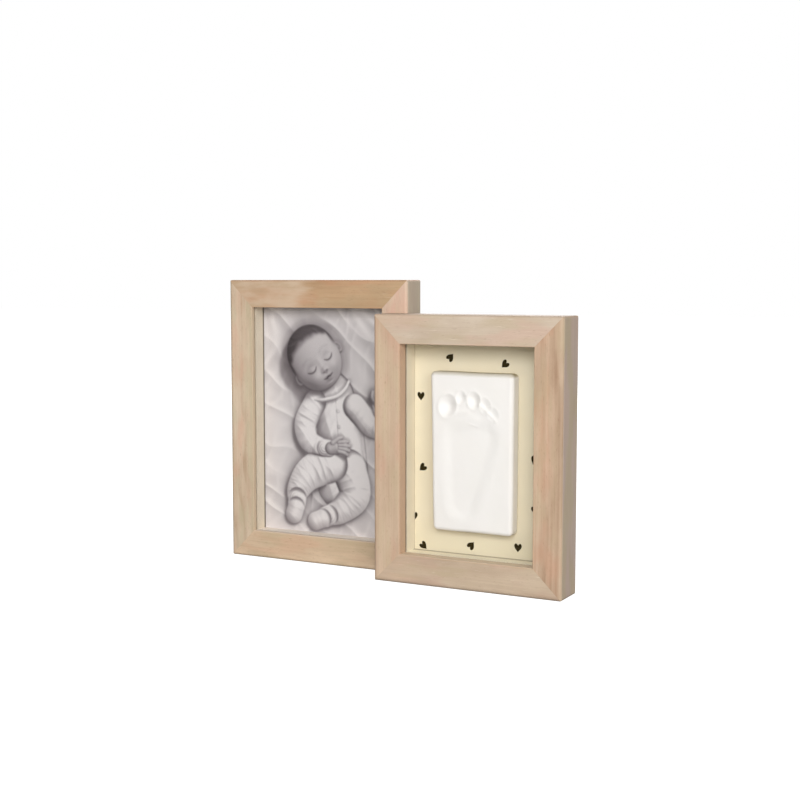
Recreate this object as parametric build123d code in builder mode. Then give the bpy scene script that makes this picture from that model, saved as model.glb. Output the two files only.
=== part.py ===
from build123d import *
import os
from dataclasses import dataclass

# A pair of wooden display frames for a baby's photograph and a clay footprint.
# All lengths are in millimetres. X runs to the viewer's right, Y away from the viewer and Z up.
# The origin is on the surface that both frames stand on, at the middle of the whole pair.

# Outer sizes of the two frames
photo_frame_width = 130.0
photo_frame_height = 180.0
photo_frame_depth = 19.0
print_frame_width = 120.0
print_frame_height = 160.0
print_frame_depth = 24.0
frame_overlap = 10.0

# The wooden moulding, seen from the front and in its thickness
face_width = 17.5
edge_radius = 2.0
corner_radius = 1.5
arris_radius = 0.4
lip_overlap = 3.0
photo_lip_depth = 3.0
print_lip_depth = 8.0

# Metal nails that hold each mitre together, pressed in from the back
nail_inset = 6.0
nail_leg = 5.0
nail_thickness = 0.6
nail_height = 8.0
nail_clearance = 0.05

# Clear panes and the strips that hold the picture and the card off them
pane_thickness = 1.5
insert_clearance = 0.5
spacer_thickness = 2.8
photo_spacer_depth = 9.5

# Flat sheets in the frames' rebates
photo_thickness = 0.3
card_thickness = 0.5
backing_thickness = 3.0
backing_edge_radius = 0.4

# The clay slab, a little narrower at its foot, and the two pads that hold it to the card
clay_width = 51.7
clay_height = 94.4
clay_thickness = 9.0
clay_shift_x = -1.0
clay_shift_z = -0.9
clay_corner_radius = 3.0
clay_edge_radius = 2.4
clay_back_edge_radius = 0.8
clay_corner_shares = ((-1.048, 1.002), (1.021, 0.994), (0.994, -1.000), (-0.971, -0.998))
pad_width = 36.0
pad_height = 16.0
pad_thickness = 0.5
pad_spacing = 48.0

# The footprint pressed into the clay: the sole is a hull of three rounds, the toes are shallow ovals
foot_length = 78.0
foot_width = 38.0
foot_heel_rise = -42.0
sole_depth = 1.4
sole_wall_slope_width = 2.6
toe_depth = 2.0
# Each round of the sole: its place across and along the foot, and its radius across the foot
sole_round_shares = ((-0.237, 0.628, 0.303), (0.132, 0.641, 0.316), (-0.158, 0.154, 0.316))
# Each toe: its place across and along the foot, its half width and half length, and its depth
toe_shares = (
    (-0.453, 0.878, 0.126, 0.087, 1.0),
    (-0.216, 0.949, 0.068, 0.046, 0.5),
    (0.008, 0.927, 0.087, 0.059, 0.8),
    (0.200, 0.891, 0.079, 0.051, 0.6),
    (0.355, 0.833, 0.074, 0.045, 0.5),
)

# Turn buttons on the backs, and the screws that they turn on
button_length = 22.0
button_width = 9.0
button_thickness = 1.0
button_edge_radius = 0.3
button_inset = 8.0
button_gap = 0.1
button_spread_share = 0.25
screw_shank_diameter = 2.5
screw_shank_length = 9.0
screw_head_diameter = 5.6
screw_head_height = 1.4
screw_head_edge_radius = 0.8
screw_slot_length = 3.4
screw_slot_width = 0.7
screw_slot_depth = 0.7
screw_clearance = 0.02
pivot_clearance = 0.08

# Disc magnets let into the faces where the print frame meets the photo frame
magnet_diameter = 5.0
magnet_thickness = 3.0
magnet_recess = 0.2
magnet_clearance = 0.05
magnet_height_shares = (0.22, 0.78)

# Places worked out from the sizes above
hardware_proud = 2 * button_gap + button_thickness + screw_head_height
total_width = photo_frame_width + print_frame_width - frame_overlap
meeting_plane_y = (print_frame_depth - photo_frame_depth - hardware_proud) / 2
print_spacer_depth = (
    print_frame_depth - print_lip_depth - pane_thickness - card_thickness - backing_thickness
)
filler_thickness = (
    photo_frame_depth - photo_lip_depth - pane_thickness
    - photo_spacer_depth - photo_thickness - backing_thickness
)


@dataclass(frozen=True)
class Frame:
    """One frame: its outer sizes, where its left side and front stand, and what its rebate holds."""

    name: str
    left: float
    front: float
    width: float
    height: float
    depth: float
    lip_depth: float
    spacer_depth: float

    @property
    def middle_x(self):
        return self.left + self.width / 2

    @property
    def right(self):
        return self.left + self.width

    @property
    def back(self):
        return self.front + self.depth

    @property
    def window_size(self):
        return self.width - 2 * face_width, self.height - 2 * face_width

    @property
    def rebate_size(self):
        window_width, window_height = self.window_size
        return window_width + 2 * lip_overlap, window_height + 2 * lip_overlap

    @property
    def sheet_size(self):
        rebate_width, rebate_height = self.rebate_size
        return rebate_width - 2 * insert_clearance, rebate_height - 2 * insert_clearance

    @property
    def middle(self):
        return self.middle_x, self.height / 2

    @property
    def pane_front(self):
        return self.front + self.lip_depth

    @property
    def spacer_front(self):
        return self.pane_front + pane_thickness

    @property
    def insert_front(self):
        return self.spacer_front + self.spacer_depth

    @property
    def button_places(self):
        """Where the turn buttons are screwed on: name, x, z and the way the tongue points, up or down."""
        spread = self.width * button_spread_share
        upper, lower = self.height - button_inset, button_inset
        return (
            ("upper_left", self.middle_x - spread, upper, -1),
            ("upper_right", self.middle_x + spread, upper, -1),
            ("lower_left", self.middle_x - spread, lower, 1),
            ("lower_right", self.middle_x + spread, lower, 1),
        )


photo_frame = Frame(
    name="photo_frame",
    left=-total_width / 2,
    front=meeting_plane_y,
    width=photo_frame_width,
    height=photo_frame_height,
    depth=photo_frame_depth,
    lip_depth=photo_lip_depth,
    spacer_depth=photo_spacer_depth,
)
print_frame = Frame(
    name="print_frame",
    left=total_width / 2 - print_frame_width,
    front=meeting_plane_y - print_frame_depth,
    width=print_frame_width,
    height=print_frame_height,
    depth=print_frame_depth,
    lip_depth=print_lip_depth,
    spacer_depth=print_spacer_depth,
)
frames = (photo_frame, print_frame)

# The magnets stand at the middle of the strip where the print frame laps over the photo frame
magnet_x = print_frame.left + frame_overlap / 2
magnet_places = [(magnet_x, print_frame_height * share) for share in magnet_height_shares]


def wall(y):
    """The upright plane at depth y, facing the viewer: its own x and y run along X and Z."""
    return Plane.XZ.offset(-y)


def mitred_outline(frame, side):
    """The corners of one member's face: mitred from the frame's corner to the window's."""
    left, right, top, t = frame.left, frame.right, frame.height, face_width
    outlines = {
        "top_rail": ((left, top), (right, top), (right - t, top - t), (left + t, top - t)),
        "bottom_rail": ((left, 0), (right, 0), (right - t, t), (left + t, t)),
        "left_stile": ((left, 0), (left, top), (left + t, top - t), (left + t, t)),
        "right_stile": ((right, 0), (right, top), (right - t, top - t), (right - t, t)),
    }
    return outlines[side]


def draw_nails(frame, growth):
    """Draws the nails' section at the four corners: two legs that run in from a point on the mitre."""
    for x, inward_x in ((frame.left + nail_inset, 1), (frame.right - nail_inset, -1)):
        for z, inward_z in ((nail_inset, 1), (frame.height - nail_inset, -1)):
            leg, thickness = nail_leg + 2 * growth, nail_thickness + 2 * growth
            with Locations((x + inward_x * (nail_leg - nail_thickness) / 2, z)):
                Rectangle(leg, thickness)
            with Locations((x, z + inward_z * (nail_leg - nail_thickness) / 2)):
                Rectangle(thickness, leg)


def frame_block(frame):
    """The whole frame before it is cut into members: eased block, window, rebate and bores."""
    with BuildSketch(wall(frame.front)) as outline:
        with Locations(frame.middle):
            Rectangle(frame.width, frame.height)
    extrude(outline.sketch, amount=-frame.depth)
    block_faces = faces().sort_by(Axis.Y)
    fillet(block_faces[0].edges() + block_faces[-1].edges(), edge_radius)
    with BuildSketch(wall(frame.front)) as eased_outline:
        with Locations(frame.middle):
            RectangleRounded(frame.width, frame.height, corner_radius)
    extrude(eased_outline.sketch, amount=-frame.depth, mode=Mode.INTERSECT)
    with BuildSketch(wall(frame.front)) as window:
        with Locations(frame.middle):
            Rectangle(*frame.window_size)
    extrude(window.sketch, amount=-frame.depth, mode=Mode.SUBTRACT)
    front_face = faces().filter_by(Axis.Y).sort_by(Axis.Y)[0]
    fillet(front_face.inner_wires()[0].edges(), arris_radius)
    with BuildSketch(wall(frame.back)) as rebate:
        with Locations(frame.middle):
            Rectangle(*frame.rebate_size)
    extrude(rebate.sketch, amount=frame.depth - frame.lip_depth, mode=Mode.SUBTRACT)
    with BuildSketch(wall(frame.back)) as nail_pockets:
        draw_nails(frame, nail_clearance)
    extrude(nail_pockets.sketch, amount=nail_height, mode=Mode.SUBTRACT)
    with BuildSketch(wall(frame.back)) as screw_bores:
        with Locations(*[(x, z) for _, x, z, _ in frame.button_places]):
            Circle(screw_shank_diameter / 2 + screw_clearance)
    extrude(screw_bores.sketch, amount=screw_shank_length, mode=Mode.SUBTRACT)


def magnet_bores(into_depth):
    """Cuts the magnets' blind bores from the meeting faces, towards or away from the viewer."""
    with BuildSketch(wall(meeting_plane_y)) as bores:
        with Locations(*magnet_places):
            Circle(magnet_diameter / 2 + magnet_clearance)
    extrude(bores.sketch, amount=into_depth * (magnet_thickness + magnet_recess), mode=Mode.SUBTRACT)


os.makedirs("parts", exist_ok=True)

# Rails and stiles: each is the mitred share of its frame's block
for frame in frames:
    for side in ("top_rail", "bottom_rail", "left_stile", "right_stile"):
        with BuildPart() as member:
            frame_block(frame)
            if frame is photo_frame and side == "right_stile":
                magnet_bores(-1)
            if frame is print_frame and side == "left_stile":
                magnet_bores(1)
            with BuildSketch(wall(frame.front)):
                with BuildLine():
                    Polyline(*mitred_outline(frame, side), close=True)
                make_face()
            extrude(amount=-frame.depth, mode=Mode.INTERSECT)
        member.part.label = f"{frame.name}_{side}"
        export_step(member.part, f"parts/{member.part.label}.step")

# Corner nails, flush with the back
for frame in frames:
    with BuildPart() as nails:
        with BuildSketch(wall(frame.back)):
            draw_nails(frame, 0)
        extrude(amount=nail_height)
    nails.part.label = f"{frame.name}_corner_nails"
    export_step(nails.part, f"parts/{nails.part.label}.step")

# Clear panes behind the lips
for frame in frames:
    with BuildPart() as pane:
        with BuildSketch(wall(frame.pane_front)):
            with Locations(frame.middle):
                Rectangle(*frame.sheet_size)
        extrude(amount=-pane_thickness)
    pane.part.label = f"{frame.name}_pane"
    export_step(pane.part, f"parts/{pane.part.label}.step")

# Spacer strips on edge round the rebate: the upright ones stand between the level ones
for frame in frames:
    rebate_width, rebate_height = frame.rebate_size
    upright_height = rebate_height - 2 * spacer_thickness
    offset_x = (rebate_width - spacer_thickness) / 2
    offset_z = (rebate_height - spacer_thickness) / 2
    strips = {
        "top_spacer": (0, offset_z, rebate_width, spacer_thickness),
        "bottom_spacer": (0, -offset_z, rebate_width, spacer_thickness),
        "left_spacer": (-offset_x, 0, spacer_thickness, upright_height),
        "right_spacer": (offset_x, 0, spacer_thickness, upright_height),
    }
    for strip_name, (x, z, strip_width, strip_height) in strips.items():
        with BuildPart() as spacer:
            with BuildSketch(wall(frame.spacer_front)):
                with Locations((frame.middle_x + x, frame.height / 2 + z)):
                    Rectangle(strip_width, strip_height)
            extrude(amount=-frame.spacer_depth)
        spacer.part.label = f"{frame.name}_{strip_name}"
        export_step(spacer.part, f"parts/{spacer.part.label}.step")

# The photograph and the board that fills the space behind it
with BuildPart() as photo_print:
    with BuildSketch(wall(photo_frame.insert_front)):
        with Locations(photo_frame.middle):
            Rectangle(*photo_frame.sheet_size)
    extrude(amount=-photo_thickness)
photo_print.part.label = "photo_print"
export_step(photo_print.part, "parts/photo_print.step")

with BuildPart() as filler_board:
    with BuildSketch(wall(photo_frame.insert_front + photo_thickness)):
        with Locations(photo_frame.middle):
            Rectangle(*photo_frame.sheet_size)
    extrude(amount=-filler_thickness)
filler_board.part.label = "filler_board"
export_step(filler_board.part, "parts/filler_board.step")

# The card that carries the clay
with BuildPart() as heart_card:
    with BuildSketch(wall(print_frame.insert_front)):
        with Locations(print_frame.middle):
            Rectangle(*print_frame.sheet_size)
    extrude(amount=-card_thickness)
heart_card.part.label = "heart_card"
export_step(heart_card.part, "parts/heart_card.step")

clay_x = print_frame.middle_x + clay_shift_x
clay_z = print_frame.height / 2 + clay_shift_z
clay_back = print_frame.insert_front - pad_thickness
clay_front = clay_back - clay_thickness

with BuildPart() as adhesive_pads:
    with BuildSketch(wall(clay_back)):
        with Locations((clay_x, clay_z - pad_spacing / 2), (clay_x, clay_z + pad_spacing / 2)):
            Rectangle(pad_width, pad_height)
    extrude(amount=-pad_thickness)
adhesive_pads.part.label = "adhesive_pads"
export_step(adhesive_pads.part, "parts/adhesive_pads.step")


def foot_place(across_share, along_share):
    """A place on the clay's face, from its shares of the foot's width and length."""
    x = print_frame.middle_x + across_share * foot_width
    z = print_frame.height / 2 + foot_heel_rise + along_share * foot_length
    return x, z


def draw_sole(shrink):
    """Draws the sole's outline, drawn in by shrink on every side."""
    for across_share, along_share, radius_share in sole_round_shares:
        with Locations(foot_place(across_share, along_share)):
            Circle(radius_share * foot_width - shrink)
    make_hull()


def press_toe(across_share, along_share, half_width_share, half_length_share, depth_share):
    """Cuts one toe: the cap of an oval that is round about its upright axis."""
    x, z = foot_place(across_share, along_share)
    depth = depth_share * toe_depth
    half_width, half_length = half_width_share * foot_width, half_length_share * foot_length
    radius = (half_width**2 + depth**2) / (2 * depth)
    upright_radius = half_length * radius / half_width
    centre = Vector(x, clay_front - (radius - depth), z)
    with BuildSketch(Plane(origin=centre, x_dir=(1, 0, 0), z_dir=(0, -1, 0))) as half_oval:
        with BuildLine():
            EllipticalCenterArc((0, 0), radius, upright_radius, start_angle=-90, arc_size=180)
            Line((0, upright_radius), (0, -upright_radius))
        make_face()
    revolve(half_oval.sketch, axis=Axis(centre, (0, 0, 1)), mode=Mode.SUBTRACT)


with BuildPart() as clay_print:
    with BuildSketch(wall(clay_back)):
        with BuildLine():
            Polyline(
                *[
                    (clay_x + across * clay_width / 2, clay_z + up * clay_height / 2)
                    for across, up in clay_corner_shares
                ],
                close=True,
            )
        make_face()
        fillet(vertices(), clay_corner_radius)
    extrude(amount=clay_thickness)
    fillet(faces().sort_by(Axis.Y)[0].edges(), clay_edge_radius)
    fillet(faces().sort_by(Axis.Y)[-1].edges(), clay_back_edge_radius)
    with BuildSketch(wall(clay_front)):
        draw_sole(0)
    with BuildSketch(wall(clay_front + sole_depth)):
        draw_sole(sole_wall_slope_width)
    loft(mode=Mode.SUBTRACT)
    for toe in toe_shares:
        press_toe(*toe)
clay_print.part.label = "clay_print"
export_step(clay_print.part, "parts/clay_print.step")

# Backing boards, flush with the frames' backs
for frame in frames:
    with BuildPart() as backing_board:
        with BuildSketch(wall(frame.back)):
            with Locations(frame.middle):
                Rectangle(*frame.sheet_size)
        extrude(amount=backing_thickness)
        fillet(faces().sort_by(Axis.Y)[-1].edges(), backing_edge_radius)
    backing_board.part.label = f"{frame.name}_backing_board"
    export_step(backing_board.part, f"parts/{backing_board.part.label}.step")

# Turn buttons: a rounded tongue on each, from its screw over the edge of the backing board
for frame in frames:
    for place, x, z, tongue_way in frame.button_places:
        tongue_reach = button_length - button_width
        with BuildPart() as button:
            with BuildSketch(wall(frame.back + button_gap)):
                with Locations((x, z + tongue_way * tongue_reach / 2)):
                    SlotCenterToCenter(tongue_reach, button_width, rotation=90)
                with Locations((x, z)):
                    Circle(screw_shank_diameter / 2 + pivot_clearance, mode=Mode.SUBTRACT)
            extrude(amount=-button_thickness)
            fillet(faces().sort_by(Axis.Y)[-1].outer_wire().edges(), button_edge_radius)
        button.part.label = f"{frame.name}_{place}_button"
        export_step(button.part, f"parts/{button.part.label}.step")

# Screws: shank in the rail, rounded head over the button, crossed slots
for frame in frames:
    centres = [(x, z) for _, x, z, _ in frame.button_places]
    head_seat = frame.back + 2 * button_gap + button_thickness
    head_top = head_seat + screw_head_height
    with BuildPart() as screws:
        with BuildSketch(wall(head_seat)):
            with Locations(*centres):
                Circle(screw_head_diameter / 2)
        extrude(amount=-screw_head_height)
        fillet(edges().group_by(Axis.Y)[-1], screw_head_edge_radius)
        with BuildSketch(wall(head_seat)):
            with Locations(*centres):
                Circle(screw_shank_diameter / 2)
        extrude(amount=head_seat - frame.back + screw_shank_length)
        with BuildSketch(wall(head_top)):
            with Locations(*centres):
                Rectangle(screw_slot_length, screw_slot_width)
                Rectangle(screw_slot_width, screw_slot_length)
        extrude(amount=screw_slot_depth, mode=Mode.SUBTRACT)
    screws.part.label = f"{frame.name}_button_screws"
    export_step(screws.part, f"parts/{screws.part.label}.step")

# Magnets at the bottoms of their bores, on both sides of the meeting faces
for frame, into_depth in ((photo_frame, -1), (print_frame, 1)):
    with BuildPart() as magnets:
        with BuildSketch(wall(meeting_plane_y - into_depth * magnet_recess)):
            with Locations(*magnet_places):
                Circle(magnet_diameter / 2)
        extrude(amount=into_depth * magnet_thickness)
    magnets.part.label = f"{frame.name}_magnets"
    export_step(magnets.part, f"parts/{magnets.part.label}.step")
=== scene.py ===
"""Dresses a pair of wooden display frames: grained wood, clear panes, a heart-printed card, a clay
footprint and a greyscale baby picture.

Sizes are in millimetres where a name or docstring says so, and become metres through MM. X runs to the
viewer's right, Y away from the viewer and Z up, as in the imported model.
"""

import logging
import math
from dataclasses import dataclass, field, replace
from enum import Enum
from typing import Any, Optional, Sequence, Union

import bpy
import numpy as np
from mathutils import Euler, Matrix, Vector


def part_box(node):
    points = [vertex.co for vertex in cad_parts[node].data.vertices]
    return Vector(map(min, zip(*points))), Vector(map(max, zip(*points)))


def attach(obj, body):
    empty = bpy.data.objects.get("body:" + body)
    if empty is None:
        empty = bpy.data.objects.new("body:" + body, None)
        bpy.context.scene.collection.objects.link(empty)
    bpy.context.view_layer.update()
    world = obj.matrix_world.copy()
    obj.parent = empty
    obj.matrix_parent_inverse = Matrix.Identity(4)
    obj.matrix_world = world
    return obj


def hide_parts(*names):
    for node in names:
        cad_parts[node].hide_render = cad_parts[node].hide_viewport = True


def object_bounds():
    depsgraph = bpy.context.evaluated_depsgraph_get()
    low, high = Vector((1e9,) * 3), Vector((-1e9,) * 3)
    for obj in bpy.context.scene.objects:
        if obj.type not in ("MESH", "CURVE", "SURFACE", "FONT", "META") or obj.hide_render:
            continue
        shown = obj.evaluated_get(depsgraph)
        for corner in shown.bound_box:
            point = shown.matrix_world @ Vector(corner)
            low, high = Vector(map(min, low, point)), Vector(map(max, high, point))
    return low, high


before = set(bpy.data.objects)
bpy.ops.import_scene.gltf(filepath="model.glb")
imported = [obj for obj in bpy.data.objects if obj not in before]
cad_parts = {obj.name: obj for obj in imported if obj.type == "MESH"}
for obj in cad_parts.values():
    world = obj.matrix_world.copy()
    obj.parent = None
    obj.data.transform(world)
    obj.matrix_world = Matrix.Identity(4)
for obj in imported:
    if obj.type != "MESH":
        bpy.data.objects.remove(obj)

LOG = logging.getLogger("frames")
MM = 0.001
CAD_LOW, CAD_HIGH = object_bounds()
MIX_FACTOR, MIX_FIRST, MIX_SECOND, MIX_RESULT = 0, 6, 7, 2  # the Mix node's colour sockets

Rgb = tuple[float, float, float]
Pair = tuple[float, float]
Triple = tuple[float, float, float]
Array, Piece, Material = np.ndarray, bpy.types.Object, bpy.types.Material
Tree, Node, Socket = bpy.types.NodeTree, bpy.types.Node, bpy.types.NodeSocket
Feed = Union[float, int, tuple, str, Socket, None]
Inputs = dict[Union[str, int], Feed]


def linear(display: Rgb) -> tuple[float, float, float, float]:
    """Turns a display colour into a linear one.

    Args:
        display: red, green and blue as shown on a screen, from 0 to 255.

    Returns:
        The linear colour with full alpha.
    """
    knee, slope, offset, power, top = 0.04045, 12.92, 0.055, 2.4, 255.0
    shares = [value / top for value in display]
    made = [s / slope if s <= knee else ((s + offset) / (1 + offset)) ** power for s in shares]
    return (made[0], made[1], made[2], 1.0)


def millimetres(node: str) -> tuple[Array, Array]:
    """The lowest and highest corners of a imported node, in millimetres."""
    low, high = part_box(node)
    return np.array(low) / MM, np.array(high) / MM


class NodeGraph:
    """Adds and links nodes in one node tree, for a material, a group or a modifier."""

    def __init__(self, tree: Tree) -> None:
        """Keeps the tree that the nodes go into."""
        self.tree = tree

    def feed(self, socket: Socket, value: Feed) -> None:
        """Links a socket into this one, or sets its value.

        Args:
            socket: the input that takes the value.
            value: another socket, a plain value, or None to leave it.
        """
        if isinstance(value, Socket):
            self.tree.links.new(value, socket)
        elif value is not None:
            socket.default_value = value

    def node(self, kind: str, inputs: Optional[Inputs] = None, **settings: Any) -> Node:
        """Adds a node and feeds its inputs.

        Args:
            kind: Blender's name for the node's type.
            inputs: values or sockets by input name or number.
            **settings: properties to set on it.

        Returns:
            The new node.
        """
        made = self.tree.nodes.new(kind)
        for name, value in settings.items():
            setattr(made, name, value)
        for key, value in (inputs or {}).items():
            self.feed(made.inputs[key], value)
        return made

    def math(self, operation: str, first: Feed, second: Feed = None, third: Feed = None,
             clamp: bool = False) -> Socket:
        """The socket of a number operation on up to three values, kept from 0 to 1 if clamp is set."""
        values = {0: first, 1: second, 2: third}
        return self.node("ShaderNodeMath", values, operation=operation, use_clamp=clamp).outputs[0]

    def times(self, first: Feed, second: Feed) -> Socket:
        """The product of two numbers."""
        return self.math("MULTIPLY", first, second)

    def plus(self, first: Feed, second: Feed, clamp: bool = False) -> Socket:
        """The sum of two numbers, kept from 0 to 1 if clamp is set."""
        return self.math("ADD", first, second, clamp=clamp)

    def minus(self, first: Feed, second: Feed) -> Socket:
        """The first number less the second."""
        return self.math("SUBTRACT", first, second)

    def vector(self, operation: str, first: Feed, second: Feed = None) -> Socket:
        """The socket of a vector operation on one or two vectors."""
        return self.node("ShaderNodeVectorMath", {0: first, 1: second}, operation=operation).outputs[0]

    def blend(self, factor: Feed, first: Feed, second: Feed, mode: str = "MIX") -> Socket:
        """The socket of a colour mix, where the factor is the second colour's share."""
        inputs = {MIX_FACTOR: factor, MIX_FIRST: first, MIX_SECOND: second}
        return self.node("ShaderNodeMix", inputs, data_type="RGBA", blend_type=mode).outputs[MIX_RESULT]

    def spread(self, value: Feed, low: Feed, high: Feed, start: Feed = 0.0,
               end: Feed = 1.0) -> Socket:
        """The socket of a smooth step of the value, from start at low to end at high."""
        inputs = {"Value": value, "From Min": low, "From Max": high, "To Min": start, "To Max": end}
        return self.node("ShaderNodeMapRange", inputs, interpolation_type="SMOOTHSTEP").outputs["Result"]

    def noise(self, place: Feed, stretch: Triple, detail: float = 2.0, roughness: float = 0.5) -> Socket:
        """Soft noise from 0 to 1, with so many bumps to a millimetre along each axis, and finer layers."""
        inputs = {"Vector": self.vector("MULTIPLY", place, stretch), "Scale": 1.0, "Detail": detail}
        return self.node("ShaderNodeTexNoise", {**inputs, "Roughness": roughness}).outputs[0]

    def separate(self, vector: Feed) -> tuple[Socket, ...]:
        """The three parts of a vector."""
        return tuple(self.node("ShaderNodeSeparateXYZ", {0: vector}).outputs)

    def combine(self, x: Feed, y: Feed, z: Feed) -> Socket:
        """A vector from its three parts."""
        return self.node("ShaderNodeCombineXYZ", {0: x, 1: y, 2: z}).outputs[0]


class SocketKind(Enum):
    """The kinds of socket that groups and trees have."""

    NUMBER = "NodeSocketFloat"
    COUNT = "NodeSocketInt"
    VECTOR = "NodeSocketVector"
    COLOUR = "NodeSocketColor"
    GEOMETRY = "NodeSocketGeometry"
    MATERIAL = "NodeSocketMaterial"


NUMBER, COUNT, VECTOR, COLOUR, GEOMETRY, MATERIAL = SocketKind
SURFACE = {"Color": COLOUR, "Roughness": NUMBER, "Height": NUMBER}


class NodeGroup(NodeGraph):
    """A node group with named inputs and outputs."""

    def __init__(self, name: str, kind: str, inputs: dict[str, SocketKind],
                 outputs: dict[str, SocketKind]) -> None:
        """Makes the group with its sockets.

        Args:
            name: the group's name.
            kind: ShaderNodeTree or GeometryNodeTree.
            inputs: the inputs' names and kinds.
            outputs: the outputs' names and kinds.
        """
        super().__init__(bpy.data.node_groups.new(name, kind))
        for sockets, way in ((inputs, "INPUT"), (outputs, "OUTPUT")):
            for label, socket in sockets.items():
                self.tree.interface.new_socket(name=label, in_out=way, socket_type=socket.value)
        self.given = self.node("NodeGroupInput").outputs
        self.result = self.node("NodeGroupOutput").inputs

    def give(self, **values: Feed) -> None:
        """Feeds the group's outputs by name."""
        for name, value in values.items():
            self.feed(self.result[name], value)

    def shape(self, kind: str, inputs: Inputs, **settings: Any) -> Socket:
        """Adds the geometry node of that kind, and returns its first output."""
        return self.node(f"GeometryNode{kind}", inputs, **settings).outputs[0]

    def joined(self, *parts: Socket) -> Socket:
        """Joins shapes.

        Args:
            *parts: the shapes' sockets.

        Returns:
            The joined shape's socket.
        """
        made = self.node("GeometryNodeJoinGeometry")
        for part in parts:
            self.tree.links.new(part, made.inputs[0])
        return made.outputs[0]


@dataclass(frozen=True)
class GrainNoise:
    """One noise in the wood: bumps to a millimetre along each axis, finer layers and their strength, how
    far it shifts what it is added to, and the band over which its mask rises."""

    stretch: Triple
    layers: float = 2.0
    strength: float = 0.5
    shift: float = 0.0
    band: tuple[float, ...] = ()


GRAIN = {
    "wander": GrainNoise((0.045, 0.045, 0.011), shift=13.0),
    "waver": GrainNoise((0.35, 0.35, 0.05), shift=1.5),
    "uneven": GrainNoise((0.07, 0.07, 0.009), band=(0.3, 0.7, 0.45, 1.1)),
    "broad": GrainNoise((0.21, 0.21, 0.006), shift=1.5),
    "narrow": GrainNoise((0.85, 0.6, 0.011), strength=0.6, shift=1.4),
    "fine": GrainNoise((2.9, 1.9, 0.05), strength=0.6, shift=0.36),
    "hair": GrainNoise((7.5, 5.5, 0.28), 1.0, shift=0.2),
    "blotch": GrainNoise((0.11, 0.11, 0.05), shift=0.7),
    "cloud": GrainNoise((0.05, 0.05, 0.018), shift=0.9),
    "patch": GrainNoise((0.1, 0.1, 0.03), 3.0, band=(0.46, 0.66)),
    "moss": GrainNoise((0.12, 0.12, 0.03), band=(0.54, 0.36)),
    "thread": GrainNoise((1.7, 1.1, 0.007), 1.0, band=(0.6, 0.78)),
    "pores": GrainNoise((4.4, 3.2, 0.34), 1.0, band=(0.66, 0.8)),
    "scuffs": GrainNoise((1.15, 0.9, 0.09), 3.0, 0.65, band=(0.6, 0.74)),
}


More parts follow.
